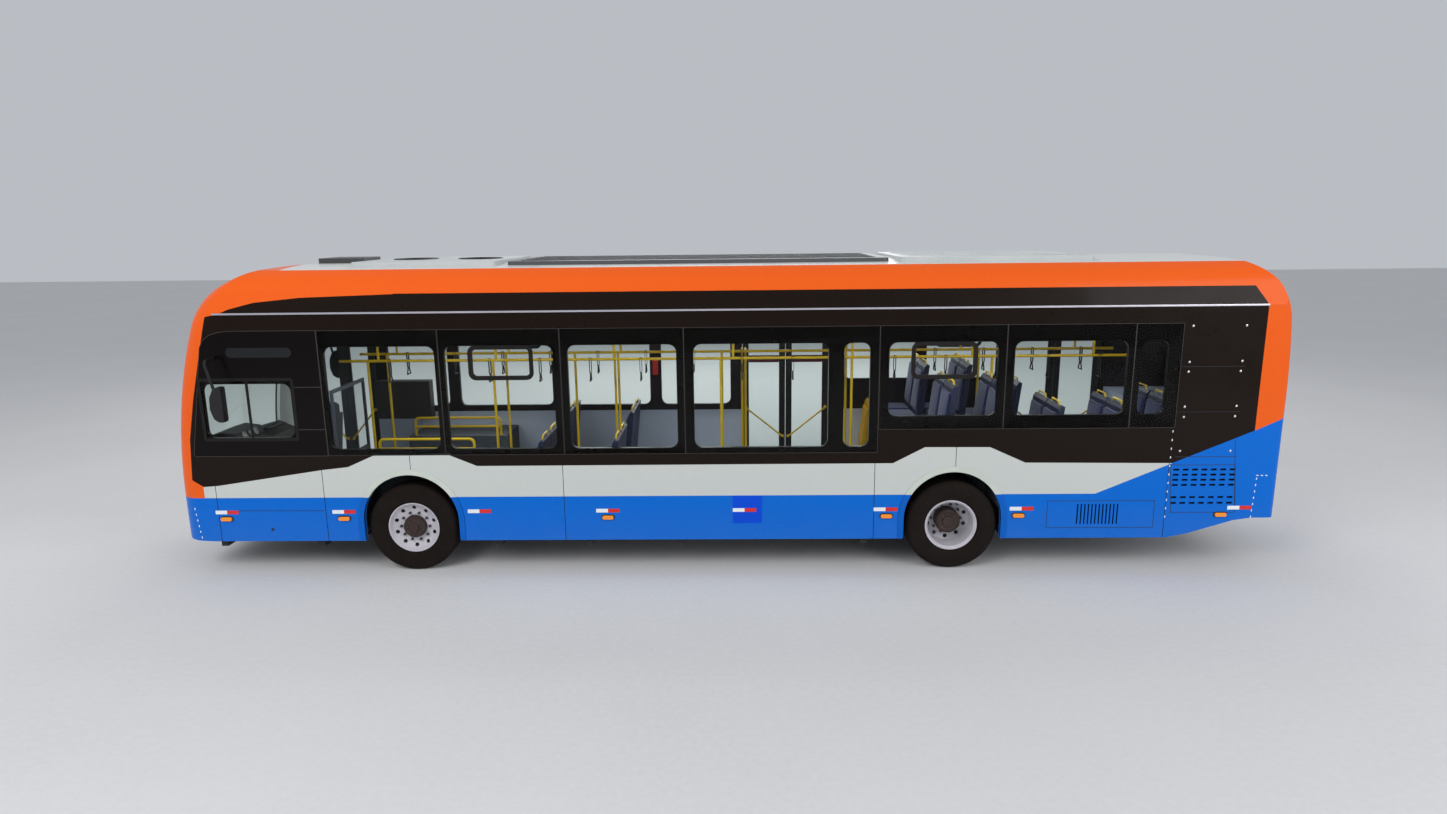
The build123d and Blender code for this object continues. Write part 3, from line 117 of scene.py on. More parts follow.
# Two-pack polyurethane paint on bonded panels: sprayed, clear-coated, faint orange peel, road dust low down, and
# painted shade in the slots and recesses.
# A box is a list of (coordinate, low, high), with w for the distance from the middle of the bus.
livery = {
    "blue": "#0267CB", "grey": "#C5C9C5", "black": "#180E08", "orange": "#E95E19", "roof": "#D3D5D2",
    "lining": "#C6CDE2", "posts": "#241D20", "cabLining": "#24201F", "pillar": "#D9DBDC", "dust": "#8E857A",
    "recessShade": "#0E0D0E", "frit": "#070302", "seams": "#23262B",
    "waist": [(-5.07, 1.263), (-3.45, 1.278), (-3.045, 1.461), (-2.315, 1.465), (-1.96, 1.280), (2.78, 1.275),
              (3.14, 1.425), (3.91, 1.429), (4.27, 1.271), (4.575, 1.237), (5.80, 1.055), (5.97, 1.042)],
    "blueTop": [(-6.315, 1.788), (-5.98, 1.635), (-5.07, 1.251), (-4.26, 0.908)],
    "rearEdge": [(3.0, -5.975), (3.062, -5.96), (3.236, -5.84)],
    "frontEdge": [(1.044, 5.978), (1.050, 5.985), (1.125, 6.10), (1.605, 6.06), (2.065, 5.96), (2.525, 5.84),
                  (3.005, 5.71), (3.035, 5.56), (3.085, 5.44), (3.155, 5.16), (3.205, 4.64), (3.235, 3.60)],
    "cabFront": [(1.43, 6.030), (2.66, 5.810), (2.74, 5.770), (2.80, 5.690), (2.845, 5.455)],
    "coveTop": 3.240, "roofEdge": 3.497, "roofFront": 4.95, "innerY": 1.2165, "cabBack": 5.3,
    "sideSlots": [("w", 1.240, 1.266), ("z", 0.0, 1.22), ("x", -6.15, 5.0)],
    "lidSlots": [("x", -6.311, -6.299), ("z", 0.98, 1.46), ("w", -1.0, 0.72)],
    "chinSlots": [("x", 6.284, 6.311), ("z", 0.62, 0.76), ("w", -1.0, 0.52)],
    "paneEdges": [("w", 1.2200, 1.2735), ("z", 1.40, 2.85), ("x", -5.30, 4.9)],
    "cabPane": [("x", 4.487, 7.0), ("z", 1.405, 2.845), ("y", 1.2, 2.0)],
    "windowBand": [("z", 1.392, 2.86)], "farPillar": [("x", 5.3, 7.0), ("y", -2.0, -0.9), ("z", 1.2, 4.0)],
    "joints": [5.84, 4.58, 1.80, -1.757, -5.063], "shortJoints": [3.55, -2.67], "shortLow": 1.20, "jointWidth": 0.007,
}


def paintLivery():
    material, tree, shader = newMaterial("polyurethanePaintPanels")
    coords = objectCoords(tree)
    x, y, z = addNode(tree, "SeparateXYZ", {0: coords}).outputs
    axes = {"x": x, "y": y, "z": z, "w": mathNode(tree, "ABSOLUTE", y)}

    def joined(operation, masks):
        whole = masks[0]
        for mask in masks[1:]:
            whole = mathNode(tree, operation, whole, mask)
        return whole

    def both(*masks):
        return joined("MULTIPLY", masks)

    def either(*masks):
        return joined("MAXIMUM", masks)

    def above(value, limit):
        return mathNode(tree, "GREATER_THAN", value, limit)

    def inBox(name):
        return both(*[above(*pair) for axis, low, high in livery[name]
                      for pair in ((axes[axis], low), (high, axes[axis]))])

    def cover(under, top, mask):
        return mixColour(tree, mask, under, linear(livery[top]))

    waist = brokenLine(tree, x, livery["waist"])
    colour = cover(linear(livery["grey"]), "black", above(z, waist))
    ends = either(above(x, brokenLine(tree, z, livery["frontEdge"])),
                  above(brokenLine(tree, z, livery["rearEdge"]), x), above(z, livery["coveTop"]))
    colour = cover(colour, "orange", ends)
    colour = cover(colour, "blue", above(brokenLine(tree, x, livery["blueTop"]), z))
    colour = cover(colour, "roof", both(above(z, livery["roofEdge"]), above(livery["roofFront"], x)))
    # near black over the side slots, the vent recesses of the rear lid and bumper, and the cut edges of skirts and
    # arches: painted shade in the recesses, partly dark joints in the skirt gaps
    colour = cover(colour, "recessShade", either(inBox("sideSlots"), inBox("lidSlots"), inBox("chinSlots")))
    cabPane = both(inBox("cabPane"), above(brokenLine(tree, z, livery["cabFront"]), x))
    colour = cover(colour, "frit", either(inBox("paneEdges"), cabPane))
    # dark joints between the panels, drawn a little wider than the real 4 mm so that they show
    seams = [mathNode(tree, "COMPARE", x, place, livery["jointWidth"] / 2)
             for place in livery["joints"] + livery["shortJoints"]]
    tall = len(livery["joints"])
    short = both(either(*seams[tall:]), above(z, livery["shortLow"]))
    colour = cover(colour, "seams", both(either(*seams[:tall], short), above(waist, z)))
    dirt = noise(tree, coords, 1000 / 2.6, 5.0, 0.65)
    colour = cover(colour, "dust", both(remap(tree, z, 0.36, 0.85, 0.09, 0.0), dirt))
    # the inner faces are lined: pale under the windows and on the ceiling, dark between the windows and in the cab
    normal = addNode(tree, "NewGeometry").outputs["Normal"]
    inward = addNode(tree, "VectorMath", {0: coords, 1: (-0.16, -0.8, -0.62)}, operation="MULTIPLY")
    lifted = addNode(tree, "VectorMath", {0: inward.outputs[0], 1: (0.0, 0.0, 1.24)}, operation="ADD")
    facing = addNode(tree, "VectorMath", {0: lifted.outputs[0], 1: normal}, operation="DOT_PRODUCT").outputs["Value"]
    inside = both(above(facing, 0.0), above(livery["innerY"], axes["w"]))
    for top, mask in (("lining", inside), ("posts", both(inside, inBox("windowBand"))),
                      ("cabLining", both(inside, above(x, livery["cabBack"]))),
                      ("pillar", both(inside, inBox("farPillar")))):
        colour = cover(colour, top, mask)
    peel = addBump(tree, noise(tree, coords, 7, 2.0), 0.00012, 0.5)
    wave = noise(tree, coords, 1000 / 1.7, 1.0)
    feed(tree, shader, {
        "Base Color": colour, "Roughness": remap(tree, dirt, 0.3, 0.7, 0.24, 0.36),
        "Normal": addBump(tree, wave, 0.004, 0.35, Normal=peel),
        "Coat Weight": 0.06, "Coat Roughness": 0.06, "Specular IOR Level": 0.12, "IOR": 1.48})
    return material


# Tempered float glass with a faint grey-green tint: it mirrors at a slant and lets the rest through
def paneGlass(name, tint):
    material, tree, shader = newMaterial(name)
    tree.nodes.remove(shader)
    slant = addNode(tree, "LayerWeight", {"Blend": 0.5}).outputs["Facing"]
    shine = remap(tree, mathNode(tree, "POWER", slant, 4.0), 0.0, 1.0, 0.004, 0.7)
    clear = addNode(tree, "BsdfTransparent", {"Color": linear(tint)}).outputs[0]
    gloss = addNode(tree, "BsdfGlossy", {"Color": (0.9, 0.93, 0.95, 1.0), "Roughness": 0.03}).outputs[0]
    mix = addNode(tree, "MixShader", {0: shine, 1: clear, 2: gloss}).outputs[0]
    feed(tree, tree.nodes["Material Output"], {"Surface": mix})
    return material


# Blown polycarbonate lens over a lit or coloured chamber: smooth, coloured through, ribs 18 mm apart
def lampLens(name, colour, alpha, glow=0.0):
    material, tree, shader = newMaterial(name)
    ribs = addNode(tree, "TexWave", {"Vector": objectCoords(tree), "Scale": 1000 / 18 / 6.28, "Distortion": 0.0},
                   bands_direction="Z").outputs["Fac"]
    darker = [c * 0.72 for c in linear(colour)[:3]] + [1]
    feed(tree, shader, {
        "Base Color": mixColour(tree, ribs, linear(colour), darker), "Normal": addBump(tree, ribs, 0.0015, 0.5),
        "Roughness": 0.12, "IOR": 1.58, "Coat Weight": 0.6, "Alpha": alpha,
        "Emission Color": linear(colour), "Emission Strength": glow})
    return material


# Woven seat moquette: dark blue wool pile with small pale flecks about 25 mm apart
def seatCloth(name, colour, fleck):
    material, tree, shader = newMaterial(name)
    coords = objectCoords(tree)
    spots = addNode(tree, "TexVoronoi", {"Vector": coords, "Scale": 1000 / 25}).outputs["Distance"]
    feed(tree, shader, {
        "Base Color": mixColour(tree, remap(tree, spots, 0.16, 0.22, 1.0, 0.0), linear(colour), linear(fleck)),
        "Normal": addBump(tree, noise(tree, coords, 3, 2.0), 0.0012, 0.7), "Roughness": 0.9, "Sheen Weight": 0.3})
    return material


# Driver's screen: grey laminate below, clear acrylic above in a grey border
def screenPanel(name, colour, second):
    material = grainFinish(name, colour, second, (0.42, 0.55), 4, 0.08, 600)
    tree = material.node_tree
    y, z = addNode(tree, "SeparateXYZ", {0: objectCoords(tree)}).outputs[1:3]
    clear = mathNode(tree, "MULTIPLY", mathNode(tree, "COMPARE", y, 0.772, 0.402),
                     mathNode(tree, "COMPARE", z, 1.715, 0.395))
    feed(tree, tree.nodes["Principled BSDF"], {"Alpha": remap(tree, clear, 0.0, 1.0, 1.0, 0.12)})
    return material


liveryPaint = paintLivery()
driverScreen = screenPanel("laminateAndAcrylicScreen", "#4A4E5C", "#40444F")
sideGlass = paneGlass("temperedSideGlass", "#F4F7F6")
doorGlass = paneGlass("temperedDoorGlass", "#F0F4F3")
screenGlass = paneGlass("laminatedScreenGlass", "#F1F6F4")
# moulded and extruded rubber: matt black, greyed by dust
tyreRubber = grainFinish("carbonBlackRubber", "#130D0A", "#1F1814", (0.72, 0.92), 6, 0.4, 180, specular=0.2)
sealRubber = grainFinish("extrudedSealRubber", "#14110F", "#1E1B19", (0.5, 0.65), 5, 0.15, 120, specular=0.25)
springRubber = grainFinish("bellowsRubber", "#171514", "#221F1D", (0.65, 0.85), 6, 0.3, 150)
# sprayed grey enamel on pressed steel, a soft even shine
rimEnamel = grainFinish("greyWheelEnamel", "#C8C5CC", "#AFAAB0", (0.3, 0.45), 9, 0.2, 160, coat=0.2)
# cast iron, oily and brown with dust, and dull plated nuts
hubIron = grainFinish("castHubIron", "#4A3A36", "#2D2422", (0.5, 0.75), 7, 0.5, 60, metallic=0.35)
nutSteel = grainFinish("zincPlatedNuts", "#6F6A68", "#4B4644", (0.35, 0.55), 4, 0.1, 30, metallic=0.8)
# welded steel under black chassis coating, rough and dull
chassisCoat = grainFinish("chassisCoatSteel", "#1B1A1A", "#2B2826", (0.55, 0.75), 10, 0.5, 250)
# anodised aluminium: pale, fine grain, dull shine
railAluminium = grainFinish("anodisedAluminium", "#E2DFE7", "#C9C6CE", (0.28, 0.42), 5, 0.05, 500, metallic=0.9)
# sealant in joints, dark and matt
greyTrim = grainFinish("greySealant", "#3A3431", "#322C2A", (0.5, 0.62), 6, 0.05, 300)
lineSealant = grainFinish("darkPanelSealant", "#1B2430", "#232B36", (0.5, 0.65), 6, 0.05, 300)
# sprayed plastic mouldings in the colours of the panels, a touch duller than they are
archTrim = grainFinish("greyArchMoulding", "#CBD2C8", "#BAC1B8", (0.35, 0.5), 8, 0.1, 300, coat=0.15)
blueTrim = grainFinish("blueArchMoulding", "#0562C4", "#0459B2", (0.32, 0.45), 8, 0.1, 300, specular=0.15)
# pressed polyvinyl floor sheet, speckled with grit
floorVinyl = grainFinish("grittedFloorVinyl", "#3C4149", "#565C66", (0.6, 0.8), 3, 0.2, 40)
# laminate on panels, satin and almost even
laminate = grainFinish("greyPanelLaminate", "#A3ABC0", "#949CB2", (0.42, 0.55), 4, 0.08, 600)
paleLaminate = grainFinish("paleDuctLaminate", "#C9CCD2", "#BDC0C7", (0.4, 0.52), 4, 0.06, 600)
# moulded plastics with a fine leather grain
seatPlastic = grainFinish("mouldedSeatPlastic", "#1E2044", "#181936", (0.4, 0.55), 2.5, 0.12, 200)
dashPlastic = grainFinish("grainedDashPlastic", "#2C2427", "#221C1E", (0.5, 0.68), 2.5, 0.2, 200)
mirrorPlastic = grainFinish("mouldedMirrorPlastic", "#1C1A1B", "#262324", (0.4, 0.55), 3, 0.15, 150, specular=0.3)
# glass fibre under gelcoat: pale, satin, faintly uneven
roofPlastic = grainFinish("glassFibreCovers", "#C9CCCB", "#B4B8B8", (0.38, 0.55), 9, 0.2, 500)
# brushed machine paint, and yellow powder coat on steel tube, slightly pebbled
powerPaint = grainFinish("greyUnitPaint", "#6C6F71", "#55585A", (0.4, 0.6), 8, 0.3, 200)
railCoat = grainFinish("yellowPowderCoat", "#E6C006", "#D4AA00", (0.3, 0.42), 4, 0.08, 300, coat=0.2)
# near-black glass and film, smooth enough to mirror the room softly
signFace = grainFinish("darkSignGlass", "#0D0E10", "#131518", (0.08, 0.14), 30, 0.0, 300)
dialFace = grainFinish("printedDialFilm", "#121316", "#1C1E22", (0.2, 0.3), 3, 0.03, 80)
# woven cloth, and vinyl over foam, wipe-clean and faintly wrinkled
moquette = seatCloth("woolMoquette", "#2A2E5C", "#5C66A8")
driverCloth = seatCloth("driverMoquette", "#26262C", "#4B4B58")
yellowVinyl = grainFinish("yellowSeatVinyl", "#D9A90C", "#C79705", (0.4, 0.55), 6, 0.3, 120)
# lamp lenses, clear to opal
clearLens = lampLens("clearPolycarbonate", "#DDE6EA", 0.32)
redLens = lampLens("redPolycarbonate", "#B31217", 0.92, 0.15)
amberLens = lampLens("amberPolycarbonate", "#F08A12", 0.96, 0.25)
lampDiffuser = lampLens("opalAcrylic", "#F2F3EE", 1.0, 14.0)
# plastic sheeting and film stuck on: even colour, low shine
whiteSheet = grainFinish("whiteRetroSheeting", "#EEF0F2", "#E0E2E6", (0.3, 0.4), 3, 0.05, 60)
redSheet = grainFinish("redRetroSheeting", "#E0281E", "#C92018", (0.3, 0.4), 3, 0.05, 60)
signBlue = grainFinish("blueSignSheeting", "#024CD8", "#0246C6", (0.3, 0.42), 3, 0.05, 120, specular=0.15)
maroonFilm = grainFinish("darkRedFilm", "#5A1420", "#4C101A", (0.3, 0.42), 5, 0.03, 200)
# bright reflectors, and white enamel on blank plates
chrome = grainFinish("bowlAluminium", "#D6D9DC", "#C4C7CA", (0.08, 0.16), 20, 0.0, 200, metallic=1.0)
mirrorSilver = grainFinish("silveredMirrorGlass", "#DDE3E8", "#D4DAE0", (0.02, 0.05), 200, 0.0, 400, metallic=1.0)
plateEnamel = grainFinish("whitePlateEnamel", "#E7E8E6", "#DADBD9", (0.25, 0.38), 12, 0.1, 200, coat=0.2)


# Other colours in boxes of the bus, as (x range, y range, z range, colour), a little of the grain still showing
def tintZones(material, zones):
    tree = material.node_tree
    shader = tree.nodes["Principled BSDF"]
    places = addNode(tree, "SeparateXYZ", {0: objectCoords(tree)}).outputs
    colour = shader.inputs["Base Color"].links[0].from_socket
    for *box, hexColour in zones:
        mask = 0.92
        for place, span in zip(places, box):
            if span:
                near = mathNode(tree, "COMPARE", place, sum(span) / 2, (span[1] - span[0]) / 2)
                mask = mathNode(tree, "MULTIPLY", near, mask)
        colour = mixColour(tree, mask, colour, linear(hexColour))
    tree.links.new(colour, shader.inputs["Base Color"])


tintZones(roofPlastic, [((4.25, 4.90), None, None, "#1A1617"), ((-1.97, 2.46), None, None, "#3A3B3E")])
tintZones(seatPlastic, [((-2.06, -1.45), (-1.3, -0.7), (0.3, 1.7), "#C99A08")])
tintZones(floorVinyl, [((2.9, 4.27), (0.66, 1.3), (0.45, 1.3), "#2A2D34"),
                       ((2.9, 4.27), (-1.3, -0.66), (0.45, 1.3), "#2A2D34"), (None, None, (0.2, 0.385), "#1D1C1B")])
print("materials:", len(bpy.data.materials))

nodeFinish = [
    (liveryPaint, "front_bumper front_end rear_end rear_lid roof_shell"),
    (liveryPaint, "left_skirts right_skirts left_wall right_wall"),
    (chassisCoat, "chassis_frame front_axle left_knuckle right_knuckle rear_axle seat_frames"),
    (dashPlastic, "dashboard steering_wheel"), (sideGlass, "left_glass right_glass rear_glass"),
    (springRubber, "air_springs"), (signFace, "destination_sign"), (driverCloth, "driver_seat"),
    (floorVinyl, "floor_deck"), (railCoat, "handrails"), (clearLens, "headlamps"), (mirrorPlastic, "mirrors wipers"),
    (driverScreen, "partition"), (powerPaint, "power_unit"), (laminate, "rear_bulkhead"), (roofPlastic, "roof_units"),
    (seatPlastic, "seat_shells"), (amberLens, "side_markers"), (redLens, "tail_lamps"), (screenGlass, "windscreen"),
]
finishOf = {name: finish for finish, names in nodeFinish for name in names.split()}
endFinish = {"glass": doorGlass, "rim": rimEnamel, "tyre": tyreRubber, "leaf": mirrorPlastic}
for name, node in nodes.items():
    node.data.materials.clear()
    node.data.materials.append(finishOf.get(name) or endFinish[name.split("_")[-1]])
print("CAD nodes dressed")


def newPiece(name, mesh, material, body="bus_body", smooth=False):
    bmesh.ops.recalc_face_normals(mesh, faces=mesh.faces)
    data = bpy.data.meshes.new(name)
    mesh.to_mesh(data)
    mesh.free()
    for face in data.polygons:
        face.use_smooth = smooth
    if smooth:
        data.set_sharp_from_angle(angle=math.radians(35))
    piece = bpy.data.objects.new(name, data)
    bpy.context.scene.collection.objects.link(piece)
    for finish in material if isinstance(material, list) else [material]:
        data.materials.append(finish)
    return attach(piece, body)


halfWidth = 1.275
bothSides = (("left", 1), ("right", -1))
doorSpans = {"front": (4.90, 5.80), "middle": (-1.49, -0.25), "rear": (-5.25, -3.95)}


def onDoor(side, *xs):  # true where a thing on the right side would lie on a door
    return side < 0 and any(min(xs) < b + 0.03 and max(xs) > a - 0.03 for a, b in doorSpans.values())


def mirrored(side, span):  # a range along y, on the left or turned over to the right
    return sorted(side * y for y in span)


def sideSpan(side, low, high):  # two places along y, measured outwards from a side face
    return side * (halfWidth + low), side * (halfWidth + high)


# Outlines and prisms: u and v lie in the plate, w is its thickness along the named axis
toSpace = {"x": lambda u, v, w: (w, u, v), "y": lambda u, v, w: (u, w, v), "z": lambda u, v, w: (u, v, w)}


def roundedOutline(u0, u1, v0, v1, corner, segments=5):
    points = []
    for u, v, start in ((u1 - corner, v0 + corner, -90), (u1 - corner, v1 - corner, 0),
                        (u0 + corner, v1 - corner, 90), (u0 + corner, v0 + corner, 180)):
        for step in range(segments + 1 if corner else 1):
            angle = math.radians(start + 90 * step / segments)
            points.append((u + corner * math.cos(angle), v + corner * math.sin(angle)))
    return points


def extrude(mesh, faces, vector):
    grown = bmesh.ops.extrude_face_region(mesh, geom=faces)["geom"]
    moved = [item for item in grown if isinstance(item, bmesh.types.BMVert)]
    bmesh.ops.translate(mesh, verts=moved, vec=vector)
    return moved


def thicken(mesh, faces, vector, material=0):
    moved = extrude(mesh, faces, vector)
    for face in list(faces) + [face for vert in moved for face in vert.link_faces]:
        face.material_index = material


def addPrism(mesh, outline, w0, w1, axis="y", material=0):
    face = mesh.faces.new([mesh.verts.new(toSpace[axis](u, v, w0)) for u, v in outline])
    thicken(mesh, [face], toSpace[axis](0, 0, w1 - w0), material)


def addPlate(mesh, u0, u1, v0, v1, w0, w1, corner=0.0, axis="y", material=0):
    addPrism(mesh, roundedOutline(u0, u1, v0, v1, corner), w0, w1, axis, material)


# A flat ring with round corners, such as a gasket, its band reaching inwards from the outline
def addFrame(mesh, u0, u1, v0, v1, band, w0, w1, corner=0.0, axis="y"):
    inner = max(corner - band, 0.3 * corner)
    rings = [[mesh.verts.new(toSpace[axis](u, v, w0)) for u, v in outline] for outline in (
        roundedOutline(u0, u1, v0, v1, corner), roundedOutline(u0 + band, u1 - band, v0 + band, v1 - band, inner))]
    count = len(rings[0])
    faces = [mesh.faces.new((rings[0][i], rings[0][(i + 1) % count], rings[1][(i + 1) % count], rings[1][i]))
             for i in range(count)]
    thicken(mesh, faces, toSpace[axis](0, 0, w1 - w0))


# A thin line drawn on a side face, from one x, z place to another
def addStrip(mesh, x0, z0, x1, z1, width, side, proud=0.0012, face=halfWidth):
    along = Vector((x1 - x0, z1 - z0)).normalized() * width / 2
    outline = [(x0 + along.y, z0 - along.x), (x1 + along.y, z1 - along.x), (x1 - along.y, z1 + along.x),
               (x0 - along.y, z0 + along.x)]
    addPrism(mesh, outline, side * (face - 0.002), side * (face + proud))


def roundEdges(mesh, edges, offset, segments):
    bmesh.ops.bevel(mesh, geom=edges, offset=offset, offset_type="OFFSET", segments=segments, profile=0.5,
                    affect="EDGES", material=-1, clamp_overlap=True)


def addBox(mesh, x0, x1, y0, y1, z0, z1, edge=0.0):
    middle = Vector((x0 + x1, y0 + y1, z0 + z1)) / 2
    size = Matrix.Diagonal((abs(x1 - x0), abs(y1 - y0), abs(z1 - z0), 1))
    made = bmesh.ops.create_cube(mesh, size=1, matrix=Matrix.Translation(middle) @ size)
    if edge:
        roundEdges(mesh, list({item for vert in made["verts"] for item in vert.link_edges}), edge, 2)


def addRod(mesh, start, end, radius, segments=12):
    start, end = Vector(start), Vector(end)
    turn = (end - start).to_track_quat("Z", "Y").to_matrix().to_4x4()
    bmesh.ops.create_cone(mesh, cap_ends=True, segments=segments, radius1=radius, radius2=radius,
                          depth=(end - start).length, matrix=Matrix.Translation((start + end) / 2) @ turn)


# A bent tube: rods along the points with balls in the bends
def addTube(mesh, points, radius, segments=10):
    for start, end in zip(points, points[1:]):
        addRod(mesh, start, end, radius, segments)
    for point in points[1:-1]:
        bmesh.ops.create_uvsphere(mesh, u_segments=segments, v_segments=6, radius=radius,
                                  matrix=Matrix.Translation(point))


def spinRing(mesh, points, centre, axis, steps):
    ring = [mesh.verts.new(point) for point in points]
    edges = [mesh.edges.new(pair) for pair in zip(ring, ring[1:])]
    bmesh.ops.spin(mesh, geom=ring + edges, cent=centre, axis=axis, dvec=(0, 0, 0), angle=math.tau, steps=steps,
                   use_merge=True)


# A turned form about an axis through centre, from (radius, height) pairs
def addTurned(mesh, profile, centre, axis, steps=32):
    centre, axis = Vector(centre), Vector(axis)
    across = axis.orthogonal().normalized()
    spinRing(mesh, [centre + across * r + axis * h for r, h in profile], centre, axis, steps)
    bmesh.ops.remove_doubles(mesh, verts=mesh.verts, dist=1e-6)


# A foam pad: crowned, with sides that pull in between the corners, flat where it lies; place puts it on its seat
def addPad(mesh, place, width, length, thick):
    before = len(mesh.verts)
    made = bmesh.ops.create_cube(mesh, size=2.0)
    edges = list({edge for vert in made["verts"] for edge in vert.link_edges})
    bmesh.ops.subdivide_edges(mesh, edges=edges, cuts=5, use_grid_fill=True)
    mesh.verts.ensure_lookup_table()
    verts = mesh.verts[before:]
    for vert in verts:
        u, v, h = vert.co.x, vert.co.y, (vert.co.z + 1) / 2
        crown = 1 - 0.22 * max(abs(u), abs(v)) ** 4 - 0.12 * (u * u + v * v) / 2
        vert.co = (u * width / 2 * (1 - 0.05 * (1 - v * v)), v * length / 2 * (1 - 0.05 * (1 - u * u)),
                   h * thick * crown)
    bmesh.ops.transform(mesh, matrix=place, verts=verts)


# Wheels: worn highway tyres with five ribs of blocks, and rims with nuts and an iron hub
wheels = {
    "radius": 0.522, "axles": {"front": 3.587, "rear": -2.655}, "trackY": 1.105, "twinPitch": 0.330, "steps": 64,
    "sidewall": [(0.101, 0.2885), (0.112, 0.299), (0.126, 0.318), (0.131, 0.322), (0.139, 0.352), (0.1455, 0.392),
                 (0.1465, 0.412), (0.1440, 0.452), (0.1465, 0.456), (0.1450, 0.470), (0.1400, 0.484), (0.1290, 0.502),
                 (0.1160, 0.512)],
    "ribs": [0.106, 0.066, 0.022], "grooveR": 0.511, "block": 0.0036, "blockHigh": 0.0095,
    "treadHalf": 0.107, "treadLow": 0.49,
}
wheelSpots = [(place, axleX, letter, side) for place, axleX in wheels["axles"].items() for letter, side in bothSides]


def tyreMesh(mesh, axleX, y):
    half = wheels["sidewall"] + [(w, wheels["grooveR"]) for w in wheels["ribs"]]
    centre = Vector((axleX, y, wheels["radius"]))
    outline = [centre + Vector((0, w, r)) for w, r in half + [(-w, r) for w, r in half[::-1]]]
    spinRing(mesh, outline, centre, (0, 1, 0), wheels["steps"])
    bmesh.ops.recalc_face_normals(mesh, faces=mesh.faces)
    tread = []
    for face in mesh.faces:
        place = face.calc_center_median() - centre
        if abs(place.y) < wheels["treadHalf"] and place.length > wheels["treadLow"]:
            tread.append(face)
    bmesh.ops.inset_individual(mesh, faces=tread, thickness=wheels["block"], depth=wheels["blockHigh"])


for place, axleX, letter, side in wheelSpots:
    rubber = bmesh.new()
    for offset in (0.0,) if place == "front" else (0.0, wheels["twinPitch"]):
        tyreMesh(rubber, axleX, side * (wheels["trackY"] - offset))
    tyre = newPiece(f"{place}_{letter}_treaded_tyre", rubber, tyreRubber, f"{place}_{letter}_wheel", True)
    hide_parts(f"{place}_{letter}_tyre")
print("tyres done")

# Rims: pressed discs with ten round hand holes near the barrel, as (radius, place outwards of the tyre's middle)
rims = {
    "steps": 40, "holes": 10, "holeR": 0.0250, "margin": 0.003, "bore": 0.0475,
    "seat": [(0.285, 0.118), (0.298, 0.120), (0.298, 0.106), (0.284, 0.103)],
    "spacer": [(0.278, -0.125), (0.278, -0.205)],
    "frontBand": (0.203, 0.2590), "rearBand": (0.196, 0.2520), "frontEnd": 0.070, "rearEnd": -0.075,
    "frontFace": [(0.0, 0.110), (0.085, 0.110), (0.105, 0.090), (0.105, 0.056), (0.190, 0.056), (0.203, 0.0575),
                  (0.2590, 0.0800), (0.264, 0.086)],
    "frontBack": [(0.262, -0.105), (0.262, 0.064), (0.2590, 0.0620), (0.203, 0.0395), (0.190, 0.038), (0.105, 0.038),
                  (0.105, -0.060)],
    "rearFace": [(0.0, -0.015), (0.105, -0.015), (0.130, -0.040), (0.130, -0.150), (0.188, -0.150), (0.196, -0.149),
                 (0.2520, -0.131), (0.262, -0.120), (0.264, 0.096)],
    "rearBack": [(0.262, -0.435), (0.262, -0.172), (0.2520, -0.149), (0.196, -0.167), (0.188, -0.168),
                 (0.130, -0.168), (0.130, -0.255)],
}


def seatLoop(middle):  # the part under one tyre, from its outer flange to its inner one
    return [(r, middle + w) for r, w in rims["seat"]] + [(r, middle - w) for r, w in rims["seat"][::-1]]


def cutHole(mesh, centre, side, angle, band):
    reach, loops = sum(band) / 2, []
    spot = centre + Vector((math.cos(angle) * reach, 0, math.sin(angle) * reach))
    for facing in (side, -side):
        near = []
        for face in mesh.faces:
            middle = face.calc_center_median().xz
            if (face.normal.y * facing > 0.3 and math.dist(middle, spot.xz) < 0.03
                    and band[0] < (middle - centre.xz).length < band[1]):
                near.append(face)
        disc = bmesh.ops.dissolve_faces(mesh, faces=near)["region"][0]
        bmesh.ops.inset_individual(mesh, faces=[disc], thickness=rims["margin"])
        bmesh.ops.bisect_edges(mesh, edges=disc.edges[:], cuts=2)
        middle = disc.calc_center_median()
        for vert in disc.verts:
            vert.co = middle + (vert.co - middle).normalized() * rims["holeR"]
        loops += disc.edges[:]
        bmesh.ops.delete(mesh, geom=[disc], context="FACES_ONLY")
    bmesh.ops.bridge_loops(mesh, edges=loops)


def rimMesh(mesh, axleX, side, place):
    seats = seatLoop(0.0)
    if place == "rear":
        seats += rims["spacer"] + seatLoop(-wheels["twinPitch"])
    profile = rims[f"{place}Face"] + seats + rims[f"{place}Back"]
    end = rims[f"{place}End"]
    profile += [(rims["bore"], profile[-1][1]), (rims["bore"], end), (0.0, end)]
    centre = Vector((axleX, side * wheels["trackY"], wheels["radius"]))
    points = [centre + Vector((0, side * w, r)) for r, w in profile]
    spinRing(mesh, points, centre, (0, 1, 0), rims["steps"])
    bmesh.ops.remove_doubles(mesh, verts=mesh.verts, dist=1e-6)
    bmesh.ops.recalc_face_normals(mesh, faces=mesh.faces)
    for step in range(rims["holes"]):
        cutHole(mesh, centre, side, math.pi / 2 + math.tau * step / rims["holes"], rims[f"{place}Band"])


for place, axleX, letter, side in wheelSpots:
    disc = bmesh.new()
    rimMesh(disc, axleX, side, place)
    rim = newPiece(f"{place}_{letter}_steel_rim", disc, rimEnamel, f"{place}_{letter}_wheel", True)
    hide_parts(f"{place}_{letter}_rim")
print("rims done")

